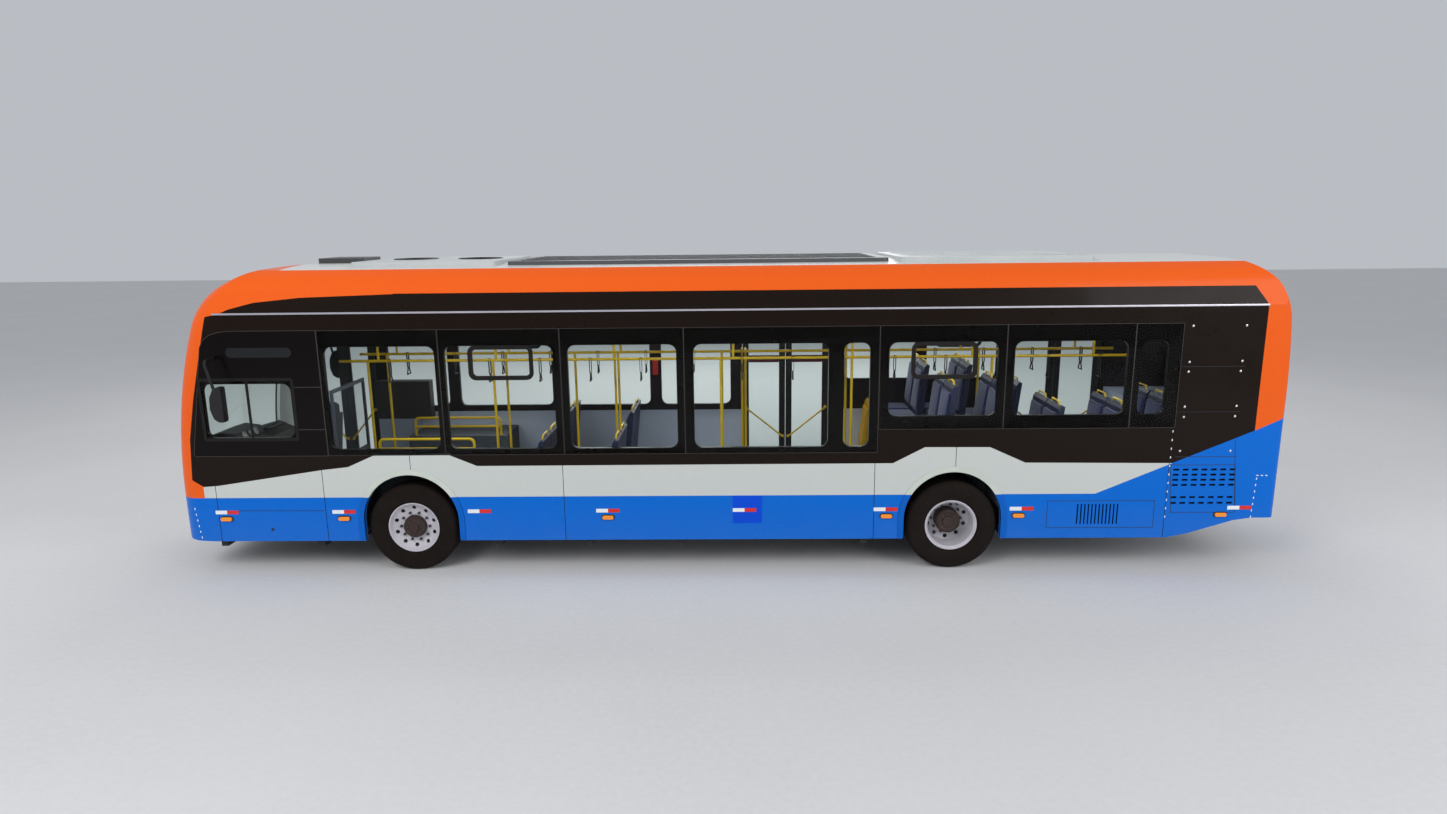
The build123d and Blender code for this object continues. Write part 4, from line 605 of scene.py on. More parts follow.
# Nuts, studs and hub caps; places are outwards of the tyre's middle
hubs = {
    "nuts": 10, "nutR": 0.0165, "nutHigh": 0.026, "studR": 0.009, "studHigh": 0.0416,
    "bolts": 8, "boltR": 0.0085, "boltHigh": 0.009,
    "front": {"nutsAt": 0.054, "nutRing": 0.168, "boltsAt": 0.110, "boltRing": 0.078, "capAt": 0.056,
              "cap": [(0.136, 0.0), (0.134, 0.014), (0.1265, 0.018), (0.126, 0.052), (0.118, 0.058), (0.104, 0.0555),
                      (0.056, 0.0560), (0.054, 0.066), (0.0, 0.069)]},
    "rear": {"nutsAt": -0.152, "nutRing": 0.172, "boltsAt": -0.015, "boltRing": 0.0858, "capAt": -0.165,
             "cap": [(0.146, 0.0), (0.146, 0.128), (0.138, 0.146), (0.116, 0.1575), (0.108, 0.1530), (0.066, 0.1540),
                     (0.064, 0.166), (0.0, 0.169)]},
}


def addStuds(mesh, axleX, side, count, ringR, start, high, radius, segments):
    for step in range(count):
        angle = math.tau * step / count
        x, z = axleX + ringR * math.cos(angle), wheels["radius"] + ringR * math.sin(angle)
        foot, tip = (side * (wheels["trackY"] + out) for out in (start, start + high))
        addRod(mesh, (x, foot, z), (x, tip, z), radius, segments)


for place, axleX, letter, side in wheelSpots:
    hub, body = hubs[place], f"{place}_{letter}_wheel"
    nuts, cap = bmesh.new(), bmesh.new()
    for high, radius, segments in ((hubs["nutHigh"], hubs["nutR"], 6), (hubs["studHigh"], hubs["studR"], 8)):
        addStuds(nuts, axleX, side, hubs["nuts"], hub["nutRing"], hub["nutsAt"], high, radius, segments)
    addStuds(nuts, axleX, side, hubs["bolts"], hub["boltRing"], hub["boltsAt"], hubs["boltHigh"], hubs["boltR"], 6)
    newPiece(f"{place}_{letter}_wheel_nuts", nuts, nutSteel, body)
    addTurned(cap, hub["cap"], (axleX, side * (wheels["trackY"] + hub["capAt"]), wheels["radius"]), (0, side, 0), 40)
    newPiece(f"{place}_{letter}_hub_cap", cap, hubIron, body, True)
print("hubs done")

# Drip rail over the windows, and mouldings round the wheel arches
dripRail = {"x": (-5.98, 5.62), "z": (3.024, 3.046), "proud": 0.013, "edge": 0.005}
rail = bmesh.new()
for letter, side in bothSides:
    addBox(rail, *dripRail["x"], *sorted(sideSpan(side, -0.004, dripRail["proud"])), *dripRail["z"], dripRail["edge"])
newPiece("drip_rails", rail, railAluminium)

archRing = {"inner": 0.556, "outer": 0.618, "z": 0.618, "low": 0.40, "proud": 0.010, "blueTop": 0.908, "steps": 48}


def archMesh(mesh, axleX, side):
    y0, y1 = sideSpan(side, -0.004, archRing["proud"])
    centre = Vector((axleX, 0, archRing["z"]))
    near, far = archRing["inner"], archRing["outer"]
    face = mesh.faces.new([mesh.verts.new(centre + Vector((r, y, 0)))
                           for r, y in ((near, y0), (far, y0), (far, y1), (near, y1))])
    spun = bmesh.ops.spin(mesh, geom=[face], cent=centre, axis=(0, -1, 0), dvec=(0, 0, 0), angle=math.pi,
                          steps=archRing["steps"])
    for foot in (face, [f for f in spun["geom_last"] if isinstance(f, bmesh.types.BMFace)][0]):
        extrude(mesh, [foot], (0, 0, archRing["low"] - archRing["z"]))
        bmesh.ops.delete(mesh, geom=[foot], context="FACES_ONLY")
    bmesh.ops.bisect_plane(mesh, geom=mesh.verts[:] + mesh.edges[:] + mesh.faces[:], dist=1e-5,
                           plane_co=(0, 0, archRing["blueTop"]), plane_no=(0, 0, 1))
    for face in mesh.faces:
        face.material_index = 0 if face.calc_center_median().z > archRing["blueTop"] else 1


for place, axleX, letter, side in wheelSpots:
    ring = bmesh.new()
    archMesh(ring, axleX, side)
    newPiece(f"{place}_{letter}_arch_moulding", ring, [archTrim, blueTrim])
print("drip rails and arch mouldings done")

# Thin grey joints round the side panes, on the face of the glass, and frames of the vents that open in two panes
paneJoints = {
    "band": 0.005, "proud": 0.0015, "top": 2.845, "low": 1.405, "high": 1.670,
    "left": [(3.130, 4.480, 0), (1.768, 3.130, 0), (0.389, 1.768, 0), (-1.782, 0.389, 0), (-3.177, -1.782, 1),
             (-4.575, -3.177, 1), (-5.088, -4.575, 1)],
    "right": [(3.800, 4.800, 0), (2.330, 3.800, 0), (0.950, 2.330, 0), (-0.180, 0.950, 0), (-2.750, -1.600, 1),
              (-3.880, -2.750, 1)],
}
vents = {"left": [(2.07, 2.80, 2.270, 2.662), (-2.86, -2.13, 2.245, 2.662)],
         "right": [(2.55, 3.45, 2.270, 2.662), (-3.60, -2.95, 2.245, 2.662)],
         "band": 0.046, "step": 0.012, "proud": 0.006, "corner": 0.08}
for letter, side in bothSides:
    joints, frames = bmesh.new(), bmesh.new()
    for x0, x1, raised in paneJoints[letter]:
        z0 = paneJoints["high"] if raised else paneJoints["low"]
        addFrame(joints, x0, x1, z0, paneJoints["top"], paneJoints["band"],
                 *sideSpan(side, -0.003, paneJoints["proud"]))
    newPiece(f"{letter}_pane_joints", joints, greyTrim)
    for x0, x1, z0, z1 in vents[letter]:
        for step, span in ((0.0, (-0.006, vents["proud"])), (vents["step"], (-0.030, -0.010))):
            addFrame(frames, x0 + step, x1 - step, z0 + step, z1 - step, vents["band"] - step,
                     *sideSpan(side, *span), vents["corner"])
    newPiece(f"{letter}_vent_frames", frames, sealRubber)

# The driver's sliding window, joints of the cab's panes, and the blank display over the window
driverWindow = {"x": (4.79, 5.89), "z": (1.585, 2.315), "band": 0.036, "slideX": (5.314, 5.346),
                "slideZ": (1.615, 2.285), "barX": (4.48, 4.79), "barZs": [2.205, 1.715],
                "zone": [(4.484, 1.405), (6.010, 1.405), (6.034, 1.430), (5.810, 2.660), (5.770, 2.740),
                         (5.690, 2.800), (5.580, 2.834), (5.455, 2.845), (4.484, 2.845), (4.484, 1.405)],
                "display": (4.775, 5.520, 2.547, 2.658)}
slider, cabLines, display = bmesh.new(), bmesh.new(), bmesh.new()
addFrame(slider, *driverWindow["x"], *driverWindow["z"], driverWindow["band"], *sideSpan(1, -0.004, 0.005), 0.03)
addBox(slider, *driverWindow["slideX"], *sideSpan(1, -0.006, 0.003), *driverWindow["slideZ"], 0.003)
newPiece("driver_window_frame", slider, sealRubber)
for z in driverWindow["barZs"]:
    addBox(cabLines, *driverWindow["barX"], *sideSpan(1, -0.002, 0.0015), z - 0.004, z + 0.004)
for start, end in zip(driverWindow["zone"], driverWindow["zone"][1:]):
    addStrip(cabLines, *start, *end, 0.006, 1)
newPiece("cab_panel_joints", cabLines, greyTrim)
addPlate(display, *driverWindow["display"], *sideSpan(1, -0.002, 0.004), 0.055)
newPiece("side_display", display, signFace)
print("side glass trim done")

# Bases of the marker lamps, reflective strips, the blank blue plate
markers = {"xs": [5.75, 4.37, 1.30, -1.90, -3.405, -5.69], "z": (0.625, 0.685), "half": 0.075}
strips = {"xs": [5.74, 4.37, 2.79, 1.30, -0.275, -1.89, -3.44, -5.90], "z": (0.712, 0.756), "half": 0.135}
bluePlate = {"box": (-0.476, -0.140, 0.575, 0.905), "corner": 0.012}
for letter, side in bothSides:
    base, tape, span = bmesh.new(), bmesh.new(), sideSpan(side, -0.001, 0.0015)
    for x in markers["xs"]:
        if not onDoor(side, x):
            addPlate(base, x - markers["half"], x + markers["half"], *markers["z"],
                     *sideSpan(side, -0.002, 0.006), 0.028)
    newPiece(f"{letter}_marker_bases", base, sealRubber)
    for x in strips["xs"]:
        if not onDoor(side, x):
            addPlate(tape, x, x + strips["half"], *strips["z"], *span, material=0)
            addPlate(tape, x - strips["half"], x, *strips["z"], *span, material=1)
    newPiece(f"{letter}_reflective_strips", tape, [whiteSheet, redSheet])
plate = bmesh.new()
addPlate(plate, *bluePlate["box"], *sideSpan(1, -0.001, 0.0012), bluePlate["corner"])
newPiece("blue_side_plate", plate, signBlue)
print("markers and strips done")

# Side trim: screws of the rear quarter panels, dotted seams, lines of hatches and grille panels, a hatch lock
sideTrim = {
    "screws": [(-5.182, 2.811), (-5.758, 2.812), (-5.177, 2.413), (-5.751, 2.419), (-5.177, 2.305), (-5.745, 2.308),
               (-5.173, 1.909), (-5.742, 1.915), (-5.173, 1.794), (-5.737, 1.797), (-5.168, 1.403), (-5.729, 1.399)],
    "screw": [(0.0, 0.0042), (0.008, 0.0036), (0.0125, 0.001), (0.0125, -0.002), (0.0, -0.002)],
    "lock": [(0.0, 0.002), (0.006, 0.002), (0.010, 0.004), (0.017, 0.004), (0.018, -0.002), (0.0, -0.002)],
    "lockAt": (5.227, 0.523),
    "joints": [(-5.09, 2.360, -5.79, 2.362), (-5.09, 1.850, -5.79, 1.852)],
    "lines": [(-5.12, 1.335, -5.805, 1.335), (-5.77, 1.526, -5.84, 0.765), (-5.08, 1.240, -5.80, 1.240),
              (-5.80, 1.240, -5.857, 0.680), (-5.13, 0.680, -5.857, 0.680), (-5.08, 1.240, -5.13, 0.680),
              (-3.73, 0.823, -4.94, 0.823), (-4.94, 0.823, -4.94, 0.503), (-3.73, 0.503, -4.94, 0.503),
              (-3.73, 0.823, -3.73, 0.503), (5.890, 0.753, 4.592, 0.750)],
    "lineWidth": 0.006, "jointWidth": 0.004,
    "dots": [(-5.07, 1.63, -5.07, 0.57, 0.10), (-6.061, 1.113, -6.190, 1.112, 0.05),
             (-6.056, 1.075, -6.037, 0.625, 0.075), (6.116, 0.776, 6.072, 0.418, 0.07)],
    "dotLong": 0.024, "dotWide": 0.010, "cornerX": 6.065, "cornerR": 0.25,
}


def sideFace(x):  # half width at x, less on the rounded front corners
    past, radius = x - sideTrim["cornerX"], sideTrim["cornerR"]
    return halfWidth if past < 0 else halfWidth - radius + math.sqrt(radius ** 2 - past ** 2)


for letter, side in bothSides:
    heads, lines, dots = bmesh.new(), bmesh.new(), bmesh.new()
    turned = [(heads, "screw", spot, 14) for spot in sideTrim["screws"]] + [(lines, "lock", sideTrim["lockAt"], 20)]
    for mesh, shape, (x, z), steps in turned:
        if not onDoor(side, x):
            addTurned(mesh, sideTrim[shape], (x, side * halfWidth, z), (0, side, 0), steps)
    for kind in ("line", "joint"):
        for x0, z0, x1, z1 in sideTrim[kind + "s"]:
            if not onDoor(side, x0, x1):
                addStrip(lines, x0, z0, x1, z1, sideTrim[kind + "Width"], side)
    for x0, z0, x1, z1, pitch in sideTrim["dots"]:
        if onDoor(side, x0, x1):
            continue
        run = Vector((x1 - x0, z1 - z0))
        step = run.normalized() * sideTrim["dotLong"] / 2
        for k in range(int(run.length / pitch) + 1):
            middle = Vector((x0, z0)) + run.normalized() * pitch * k
            addStrip(dots, *(middle - step), *(middle + step), sideTrim["dotWide"], side, face=sideFace(middle.x))
    newPiece(f"{letter}_panel_screws", heads, railAluminium, smooth=True)
    newPiece(f"{letter}_hatch_lines", lines, lineSealant)
    newPiece(f"{letter}_seam_dots", dots, whiteSheet)
print("side trim done")

# Doors: glass gaskets, meeting rubbers, yellow bars inside, a blank dark red band on the middle door's panes
doorTrim = {"sills": {"front": 0.412, "middle": 0.412, "rear": 0.482}, "top": 2.552, "frame": 0.07, "corner": 0.060,
            "outerY": -1.270, "innerY": -1.225, "glassY": -1.2475, "edgeIn": 0.022, "meet": 0.004, "gasket": 0.014,
            "jambY": (-1.268, -1.234), "bossHigh": 0.05, "barY": -1.190, "barZ": (1.00, 1.42), "barR": 0.012,
            "foot": [(0.0, 0.0), (0.022, 0.0), (0.022, 0.004), (0.013, 0.007), (0.0, 0.007)], "band": (2.055, 2.155)}
for name, (x0, x1) in doorSpans.items():
    middle, sill, top, glassY = (x0 + x1) / 2, doorTrim["sills"][name], doorTrim["top"], doorTrim["glassY"]
    outer = (doorTrim["outerY"] + 0.001, doorTrim["outerY"] - 0.003)
    for leaf, a, b in (("fore", middle + doorTrim["meet"], x1 - doorTrim["edgeIn"]),
                       ("aft", x0 + doorTrim["edgeIn"], middle - doorTrim["meet"])):
        body = f"{name}_door_{leaf}"
        meet, hinge, inwards, edge = (a, b, 1, x1) if leaf == "fore" else (b, a, -1, x0)
        rubber, jamb, bars = bmesh.new(), bmesh.new(), bmesh.new()
        wide = doorTrim["frame"]
        hole = (a + wide, b - wide, sill + wide, top - wide)
        for out in (-1, 1):
            addFrame(rubber, *hole, doorTrim["gasket"], glassY + out * 0.004, glassY + out * 0.016,
                     doorTrim["corner"])
        addPlate(rubber, *sorted((meet, meet + inwards * 0.032)), sill + 0.01, top - 0.01, *outer, 0.012)
        addPlate(rubber, a + 0.02, b - 0.02, sill + 0.004, sill + 0.034, *outer, 0.006)
        newPiece(f"{name}_{leaf}_leaf_rubbers", rubber, sealRubber, body)
        # a fixed strip in the gap beside the hinge edge, above the lower pivot
        addPlate(jamb, *sorted((edge + inwards * 0.001, edge - inwards * 0.015)), sill + doorTrim["bossHigh"], top,
                 *doorTrim["jambY"], 0.004)
        newPiece(f"{name}_{leaf}_jamb_seal", jamb, sealRubber)
        low = Vector((meet + inwards * 0.036, doorTrim["barY"], doorTrim["barZ"][0]))
        high = Vector((hinge - inwards * 0.040, doorTrim["barY"], doorTrim["barZ"][1]))
        foot = Vector((0, doorTrim["innerY"] - 0.002 - doorTrim["barY"], 0))
        addTube(bars, [low + foot, low, high, high + foot], doorTrim["barR"])
        for end in (low, high):
            addTurned(bars, doorTrim["foot"], end + foot, (0, 1, 0), 16)
        newPiece(f"{name}_{leaf}_leaf_bar", bars, railCoat, body, True)
        if name == "middle":
            band = bmesh.new()
            addPlate(band, hole[0] + 0.016, hole[1] - 0.016, *doorTrim["band"], glassY + 0.0042, glassY + 0.0054,
                     0.006)
            newPiece(f"middle_{leaf}_leaf_band", band, maroonFilm, body)
print("doors trimmed")

# Passenger seats: moquette pads on the moulded shells and a yellow grip over each back
seatPads = {
    "spots": [(x, y, level) for xs, level in (((2.300, 1.450), 0.40), ((-2.400, -2.950), 1.00))
              for x in xs for y in (0.535, 0.985, -0.535, -0.985)]
    + [(x, y, 0.76) for x in (-3.600, -4.300, -5.000) for y in (0.535, 0.985)]
    + [(-3.600, -0.535, 0.76), (-3.600, -0.985, 0.76), (-5.000, 0.060, 0.76)],
    "stepSeat": (-1.770, -0.985, 0.40), "driverSeat": (4.900, 0.740, 0.62),
    "pan": (0.39, 0.35, 0.045), "back": (0.38, 0.54, 0.040), "lean": math.atan2(0.075, 0.665),
    "headrest": (0.10, 0.26, 0.16), "gripR": 0.011,
    "grip": [(-0.250, -0.130, 1.130), (-0.252, -0.105, 1.185), (-0.252, 0.105, 1.185), (-0.250, 0.130, 1.130)],
}


def seatMesh(mesh, x, y, level):
    quarter = Matrix.Rotation(math.pi / 2, 4, "Z")
    addPad(mesh, Matrix.Translation((x + 0.045, y, level + 0.449)) @ quarter, *seatPads["pan"])
    # the back pad's own z points forwards, out of the leaning back
    lean = Matrix.Rotation(math.pi / 2 - seatPads["lean"], 4, "Y")
    addPad(mesh, Matrix.Translation((x - 0.181, y, level + 0.800)) @ lean @ quarter, *seatPads["back"])


cushions, grips, stepCushion, driverCushion = bmesh.new(), bmesh.new(), bmesh.new(), bmesh.new()
for x, y, level in seatPads["spots"]:
    seatMesh(cushions, x, y, level)
    addTube(grips, [(x + dx, y + dy, level + dz) for dx, dy, dz in seatPads["grip"]], seatPads["gripR"], 8)
seatMesh(stepCushion, *seatPads["stepSeat"])
seatMesh(driverCushion, *seatPads["driverSeat"])
x, y, level = seatPads["driverSeat"]
addPad(driverCushion, Matrix.Translation((x - 0.245, y, level + 1.150)), *seatPads["headrest"])
for name, mesh, finish in (("seat_cushions", cushions, moquette), ("step_seat_cushion", stepCushion, yellowVinyl),
                           ("driver_cushions", driverCushion, driverCloth)):
    pads = newPiece(name, mesh, finish, smooth=True)
    rounding = pads.modifiers.new("rounding", "SUBSURF")
    rounding.levels = rounding.render_levels = 1
newPiece("seat_grips", grips, railCoat, smooth=True)
print("seats padded")

# Saloon: hanging straps, ducts over the windows with lamps, extra posts, flaps by the rear wheels, a cabinet
# behind the front door and red boxes on two far posts
saloon = {"railY": 0.300, "railZ": 2.350, "strapXs": [-4.6 + 0.62 * k for k in range(15)], "strapDrop": 0.17,
          "duct": [(1.195, 2.875), (1.195, 3.060), (0.86, 3.060), (0.80, 3.010), (0.93, 2.890), (1.02, 2.875)],
          "ductX": (-5.25, 4.30), "lampXs": [-5.0 + 1.3 * k for k in range(7)], "lampLong": 1.2,
          "lampY": (1.05, 1.16), "lampZ": (2.876, 2.866), "floorZ": 0.398,
          "posts": [(-0.306, -0.56), (-0.262, -0.56), (1.340, -0.300), (1.385, -0.300)], "postR": 0.016,
          "postFoot": [(0.0, 0.0), (0.034, 0.0), (0.034, 0.006), (0.018, 0.014), (0.0, 0.014)],
          "flapXs": [-3.229, -2.081], "flapY": (0.46, 1.255), "flapZ": (0.400, 0.735),
          "cabinetTop": 1.325, "hammerXs": [0.950, -2.750]}
straps, handles, ducts, lamps, flaps = (bmesh.new() for k in range(5))
for letter, side in bothSides:
    y, z = side * saloon["railY"], saloon["railZ"]
    for x in saloon["strapXs"]:
        addFrame(straps, x - 0.014, x + 0.014, z - saloon["strapDrop"], z + 0.022, 0.0035, y - 0.020, y + 0.020,
                 0.012)
        low = z - saloon["strapDrop"] + 0.004
        addTube(handles, [(x, y - 0.012, low), (x, y - 0.055, low - 0.095), (x, y + 0.055, low - 0.095),
                          (x, y + 0.012, low)], 0.0085, 8)
    addPrism(ducts, [(side * u, v) for u, v in saloon["duct"]], *saloon["ductX"], axis="x")
    for x in saloon["lampXs"]:
        addPlate(lamps, x, x + saloon["lampLong"], *mirrored(side, saloon["lampY"]), *saloon["lampZ"], 0.02,
                 axis="z")
    for x in saloon["flapXs"]:
        addPlate(flaps, *mirrored(side, saloon["flapY"]), *saloon["flapZ"], x - 0.003, x + 0.003, 0.03, "x")
posts, cabinet, hammers = bmesh.new(), bmesh.new(), bmesh.new()
for x, y in saloon["posts"]:
    bends = [(x, y, saloon["floorZ"]), (x, y, saloon["railZ"])]
    if y < -saloon["railY"]:  # these bend over to the ceiling rail
        bends.append((x, -saloon["railY"], saloon["railZ"]))
    addTube(posts, bends, saloon["postR"], 12)
    addTurned(posts, saloon["postFoot"], (x, y, saloon["floorZ"] + 0.002), (0, 0, 1), 20)
addBox(cabinet, 4.29, 4.86, -1.205, -1.060, saloon["floorZ"], saloon["cabinetTop"], 0.010)
addBox(cabinet, 4.10, 4.86, -1.205, -1.040, saloon["cabinetTop"], 1.860, 0.012)
for face in cabinet.faces:
    face.material_index = 0 if face.calc_center_median().z < saloon["cabinetTop"] else 1
for x in saloon["hammerXs"]:
    addBox(hammers, x - 0.036, x + 0.036, -1.214, -1.180, 1.900, 2.110, 0.008)
newPiece("extra_posts", posts, railCoat, smooth=True)
newPiece("wheel_flaps", flaps, sealRubber)
newPiece("front_cabinet", cabinet, [laminate, dashPlastic])
newPiece("hammer_boxes", hammers, redSheet)
newPiece("hanging_straps", straps, sealRubber)
newPiece("strap_handles", handles, mirrorPlastic, smooth=True)
newPiece("ceiling_ducts", ducts, paleLaminate)
newPiece("ceiling_lamps", lamps, lampDiffuser)
print("saloon fitted")

# Cab: instrument hood and dials, two rows of switches
cab = {"hood": [(5.640, 1.512), (6.03, 1.512), (6.00, 1.585), (5.86, 1.625), (5.680, 1.600)], "hoodY": (0.46, 1.02),
       "dials": [(0.62, 0.052), (0.86, 0.052), (0.74, 0.036)], "dialX": 5.661, "dialZ": 1.556,
       "facing": (-0.910, 0, 0.414), "switchXs": [5.60, 5.71], "switchYs": [0.02 + 0.052 * k for k in range(7)],
       "switchSize": (0.08, 0.040), "switchZ": (1.516, 1.531)}
hood, dials, switches = bmesh.new(), bmesh.new(), bmesh.new()
addPrism(hood, cab["hood"], *cab["hoodY"])
roundEdges(hood, hood.edges[:], 0.014, 3)
for y, radius in cab["dials"]:
    addTurned(dials, [(0.0, 0.002), (radius * 0.9, 0.002), (radius * 0.93, 0.006), (radius, 0.006), (radius, -0.004),
                      (0.0, -0.004)], (cab["dialX"], y, cab["dialZ"]), cab["facing"], 28)
for y in cab["switchYs"]:
    for x in cab["switchXs"]:
        long, wide = cab["switchSize"]
        addBox(switches, x, x + long, y, y + wide, *cab["switchZ"], 0.005)
newPiece("instrument_hood", hood, dashPlastic)
newPiece("instrument_dials", dials, dialFace, smooth=True)
newPiece("dash_switches", switches, mirrorPlastic)
print("cab fitted")

# Front: gasket round the windscreen, lamp bowls and bezels, a blank plate, fog lamps
frontTrim = {"bow": 6.1331, "foot": 0.9, "noseX": 6.315, "screenY": 1.020, "screenZ": (1.150, 2.980), "corner": 0.12,
             "gasketR": 0.011, "lampY": (0.755, 1.054), "lampZ": (0.605, 0.775), "bezel": 0.014,
             "bowls": [(0.835, 0.060), (0.965, 0.060)], "bowlX": 6.283, "bowlZ": 0.690,
             "bulb": [(0.0, 0.020), (0.010, 0.016), (0.013, 0.006), (0.013, 0.002)], "fogX": 6.313, "fogY": 0.64,
             "fogZ": 0.535, "fog": [(0.0, 0.004), (0.036, 0.007), (0.044, 0.004), (0.050, 0.006), (0.054, -0.004),
                                    (0.0, -0.004)], "plate": (-0.26, 0.26, 0.500, 0.610)}


def noseFace(z):  # the front leans back on a large bow above its foot
    rise = max(z - frontTrim["foot"], 0.0)
    return frontTrim["noseX"] - frontTrim["bow"] + math.sqrt(frontTrim["bow"] ** 2 - rise ** 2)


gasket, bowls, bezels, plate = bmesh.new(), bmesh.new(), bmesh.new(), bmesh.new()
(low, high), corner, half = frontTrim["screenZ"], frontTrim["corner"], frontTrim["screenY"]
outline = [(-half, low + corner + (high - low - 2 * corner) * k / 8) for k in range(9)]
outline += [(-half + corner * (1 - math.cos(a)), high - corner + corner * math.sin(a))
            for a in (math.pi / 6, math.pi / 3)]
outline += [(-half + corner, high)]
outline += [(-y, z) for y, z in outline[::-1]]
outline += [(half - corner * (1 - math.cos(a)), low + corner - corner * math.sin(a))
            for a in (math.pi / 6, math.pi / 3, math.pi / 2)]
outline += [(-y, z) for y, z in outline[:-4:-1]] + [outline[0]]
addTube(gasket, [Vector((noseFace(z) - 0.006, y, z)) for y, z in outline], frontTrim["gasketR"], 8)
newPiece("windscreen_gasket", gasket, sealRubber, smooth=True)
for letter, side in bothSides:
    for y, radius in frontTrim["bowls"]:
        spot = (frontTrim["bowlX"], side * y, frontTrim["bowlZ"])
        addTurned(bowls, [(0.0, 0.003), (0.4 * radius, 0.006), (0.75 * radius, 0.015), (0.95 * radius, 0.024),
                          (radius, 0.024), (radius, -0.004), (0.0, -0.004)], spot, (1, 0, 0), 32)
        addTurned(bowls, frontTrim["bulb"], spot, (1, 0, 0), 16)
    y0, y1 = mirrored(side, frontTrim["lampY"])
    (low, high), lip = frontTrim["lampZ"], frontTrim["bezel"]
    addFrame(bezels, y0 - lip, y1 + lip, low - lip, high + lip, 0.016, 6.300, 6.3165, 0.052, "x")
    fogSpot = (frontTrim["fogX"], side * frontTrim["fogY"], frontTrim["fogZ"])
    addTurned(bezels, frontTrim["fog"], fogSpot, (1, 0, 0), 28)
newPiece("headlamp_bowls", bowls, chrome, smooth=True)
newPiece("headlamp_bezels", bezels, mirrorPlastic)
addPlate(plate, *frontTrim["plate"], 6.313, 6.3175, 0.008, "x")
newPiece("front_blank_plate", plate, plateEnamel)
print("front trimmed")

# Rear: glass gasket, lamp rings and bezels, reflectors, high brake lamp, blank plate and handle on the lid
rearTrim = {"tailX": -6.315, "glass": (-0.916, 0.916, 1.945, 2.776), "lampY": (1.049, 1.191), "lampZ": (1.008, 1.652),
            "rings": [(1.105, "red"), (1.250, "clear"), (1.405, "amber"), (1.555, "red")], "ringY": 1.12,
            "ring": [(0.0, 0.007), (0.018, 0.0065), (0.032, 0.005), (0.036, 0.002), (0.041, 0.006), (0.045, 0.004),
                     (0.045, -0.004), (0.0, -0.004)],
            "reflectorY": (0.95, 1.13), "reflectorZ": (0.665, 0.715), "brake": (-0.16, 0.16, 2.845, 2.880),
            "plate": (-0.26, 0.26, 0.800, 0.912), "handle": (-0.09, 0.09, 0.940, 0.970),
            "grip": (-0.07, 0.07, 0.949, 0.961)}
trim, plate, handle = bmesh.new(), bmesh.new(), bmesh.new()
rings = {"red": (bmesh.new(), redLens), "clear": (bmesh.new(), clearLens), "amber": (bmesh.new(), amberLens)}
red = rings["red"][0]
addFrame(trim, *rearTrim["glass"], 0.030, -6.300, -6.3165, 0.136, "x")
for letter, side in bothSides:
    addFrame(trim, *mirrored(side, rearTrim["lampY"]), *rearTrim["lampZ"], 0.016, -6.300, -6.3175, 0.048, "x")
    for z, tone in rearTrim["rings"]:
        addTurned(rings[tone][0], rearTrim["ring"], (rearTrim["tailX"], side * rearTrim["ringY"], z), (-1, 0, 0), 28)
    addPlate(red, *mirrored(side, rearTrim["reflectorY"]), *rearTrim["reflectorZ"], -6.312, -6.320, 0.012, "x")
addPlate(red, *rearTrim["brake"], -6.308, -6.318, 0.012, "x")
newPiece("rear_gaskets", trim, sealRubber)
for tone, (mesh, finish) in rings.items():
    newPiece(f"rear_{tone}_lenses", mesh, finish, smooth=True)
addPlate(plate, *rearTrim["plate"], -6.314, -6.3175, 0.008, "x")
newPiece("rear_blank_plate", plate, plateEnamel, "rear_lid_body")
addPlate(handle, *rearTrim["handle"], -6.314, -6.321, 0.013, "x")
addPlate(handle, *rearTrim["grip"], -6.321, -6.324, 0.005, "x")
newPiece("lid_handle", handle, mirrorPlastic, "rear_lid_body")
print("rear trimmed")

# Mirrors: a tapered housing on a bent arm, bright glass in a bezel on the face that looks back
mirrorTrim = {"x": 5.506, "y": (1.412, 1.488), "z": (1.862, 2.238), "lip": 0.008, "houseY": (1.400, 1.500),
              "house": [(5.500, 1.852), (5.560, 1.850), (5.615, 1.890), (5.648, 2.000), (5.640, 2.130),
                        (5.590, 2.235), (5.545, 2.250), (5.500, 2.248)], "armR": 0.016,
              "arm": [(5.67, 1.2752, 2.539), (5.67, 1.405, 2.539), (5.668, 1.437, 2.526), (5.666, 1.450, 2.494),
                      (5.596, 1.450, 2.190)]}
mirrorGlass, mirrorBezel, houses = bmesh.new(), bmesh.new(), bmesh.new()
for letter, side in bothSides:
    addPrism(houses, mirrorTrim["house"], *mirrored(side, mirrorTrim["houseY"]))
roundEdges(houses, houses.edges[:], 0.014, 3)
for letter, side in bothSides:
    addTube(houses, [(x, side * y, z) for x, y, z in mirrorTrim["arm"]], mirrorTrim["armR"], 14)
    y0, y1 = mirrored(side, mirrorTrim["y"])
    (low, high), lip, x = mirrorTrim["z"], mirrorTrim["lip"], mirrorTrim["x"]
    addFrame(mirrorBezel, y0 - lip, y1 + lip, low - lip, high + lip, 0.010, x + 0.014, x - 0.006, 0.028, "x")
    addPlate(mirrorGlass, y0, y1, low, high, x + 0.010, x - 0.003, 0.022, "x")
mirrorPair = newPiece("mirror_housings", houses, mirrorPlastic, smooth=True)
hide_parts("mirrors")
newPiece("mirror_bezels", mirrorBezel, mirrorPlastic)
newPiece("mirror_glass", mirrorGlass, mirrorSilver)

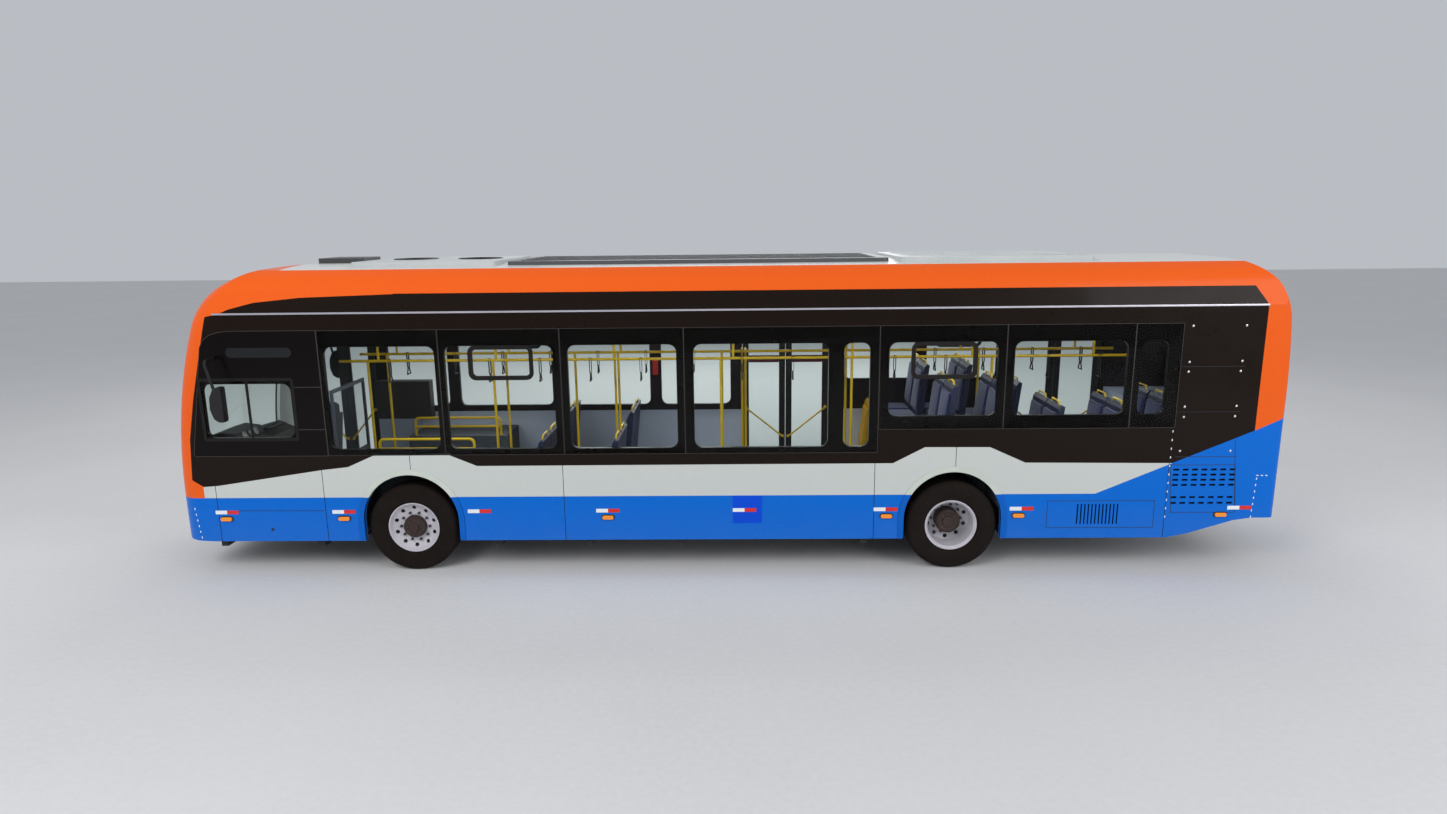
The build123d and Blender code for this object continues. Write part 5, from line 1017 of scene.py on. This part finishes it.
# Roof: fan guards and ribs on the covers
roofTrim = {"fanXs": [2.95, 3.75], "fanR": 0.27, "fanZ": 3.571, "shares": (1.0, 0.8, 0.6, 0.4, 0.2), "spokeR": 0.004,
            "ribs": [(-4.10, -2.17, 3.5715), (-1.80, 2.30, 3.5615)], "ribYs": (-0.6, -0.36, -0.12, 0.12, 0.36, 0.6),
            "ribHalf": 0.014}
fans, ribs = bmesh.new(), bmesh.new()
for x in roofTrim["fanXs"]:
    for share in roofTrim["shares"]:
        radius = roofTrim["fanR"] * share
        addTurned(fans, [(radius, 0.004), (radius - 0.006, 0.010), (radius - 0.012, 0.004), (radius - 0.006, 0.0),
                         (radius, 0.004)], (x, 0.0, roofTrim["fanZ"]), (0, 0, 1), 40)
    spot = Vector((x, 0.0, roofTrim["fanZ"] + 0.004))
    for k in range(4):
        reach = Vector((math.cos(math.pi * k / 4), math.sin(math.pi * k / 4), 0)) * roofTrim["fanR"]
        addRod(fans, spot - reach, spot + reach, roofTrim["spokeR"], 8)
newPiece("roof_fan_guards", fans, mirrorPlastic, smooth=True)
for x0, x1, z in roofTrim["ribs"]:
    for y in roofTrim["ribYs"]:
        addBox(ribs, x0, x1, y - roofTrim["ribHalf"], y + roofTrim["ribHalf"], z - 0.004, z + 0.010, 0.005)
newPiece("roof_cover_ribs", ribs, roofPlastic)
print("roof fitted")

# Studio: pale floor, soft lights, camera of the photograph
floorMesh = bmesh.new()
bmesh.ops.create_grid(floorMesh, x_segments=1, y_segments=1, size=60)
floorData = bpy.data.meshes.new("studioFloor")
floorMesh.to_mesh(floorData)
floorMesh.free()
studioFloor = bpy.data.objects.new("studioFloor", floorData)
bpy.context.scene.collection.objects.link(studioFloor)
floorData.materials.append(grainFinish("paleStudioFloor", "#D9D8D8", "#D3D2D2", (0.7, 0.85), 60, 0.0, 3000))

world = bpy.data.worlds.new("studioLight")
world.use_nodes = True
feed(world.node_tree, world.node_tree.nodes["Background"], {"Color": linear("#E6EBF2"), "Strength": 0.62})
bpy.context.scene.world = world
softLights = [  # name, place, aim, size, power
    ("key", (9.0, 13.0, 12.0), (0.0, 0.0, 1.2), 9.0, 1500.0),
    ("fill", (-12.0, 10.0, 7.0), (-1.0, 0.0, 1.5), 8.0, 700.0),
    ("back", (0.0, -13.0, 9.0), (0.0, 0.0, 1.5), 10.0, 900.0),
]
for name, spot, aim, size, power in softLights:
    light = bpy.data.lights.new(name, "AREA")
    light.size, light.energy = size, power
    lamp = bpy.data.objects.new(name, light)
    bpy.context.scene.collection.objects.link(lamp)
    lamp.location = spot
    lamp.visible_glossy = name != "key"  # the key gives no mirror image of itself in the paint
    lamp.rotation_mode = "QUATERNION"
    lamp.rotation_quaternion = (Vector(aim) - Vector(spot)).to_track_quat("-Z", "Y")

photoCamera = {"place": (-0.2352, 10.8569, 3.9423), "yaw": 0.0197, "pitch": 0.2055, "roll": -0.0111, "lens": 21.71}
yaw, pitch, roll = photoCamera["yaw"], photoCamera["pitch"], photoCamera["roll"]
ahead = Vector((math.sin(yaw) * math.cos(pitch), -math.cos(yaw) * math.cos(pitch), -math.sin(pitch)))
across = Vector((-math.cos(yaw), -math.sin(yaw), 0))
upward = across.cross(ahead)
turnedAcross = across * math.cos(roll) + upward * math.sin(roll)
turnedUp = upward * math.cos(roll) - across * math.sin(roll)
cameraData = bpy.data.cameras.new("photoCamera")
cameraData.lens, cameraData.sensor_width = photoCamera["lens"], 36.0
cameraData.clip_end = 300.0
camera = bpy.data.objects.new("photoCamera", cameraData)
bpy.context.scene.collection.objects.link(camera)
camera.matrix_world = Matrix.Translation(photoCamera["place"]) @ Matrix(
    (turnedAcross, turnedUp, -ahead)).transposed().to_4x4()
bpy.context.scene.camera = camera
bpy.context.scene.view_settings.view_transform = "Standard"
print("studio and camera done")
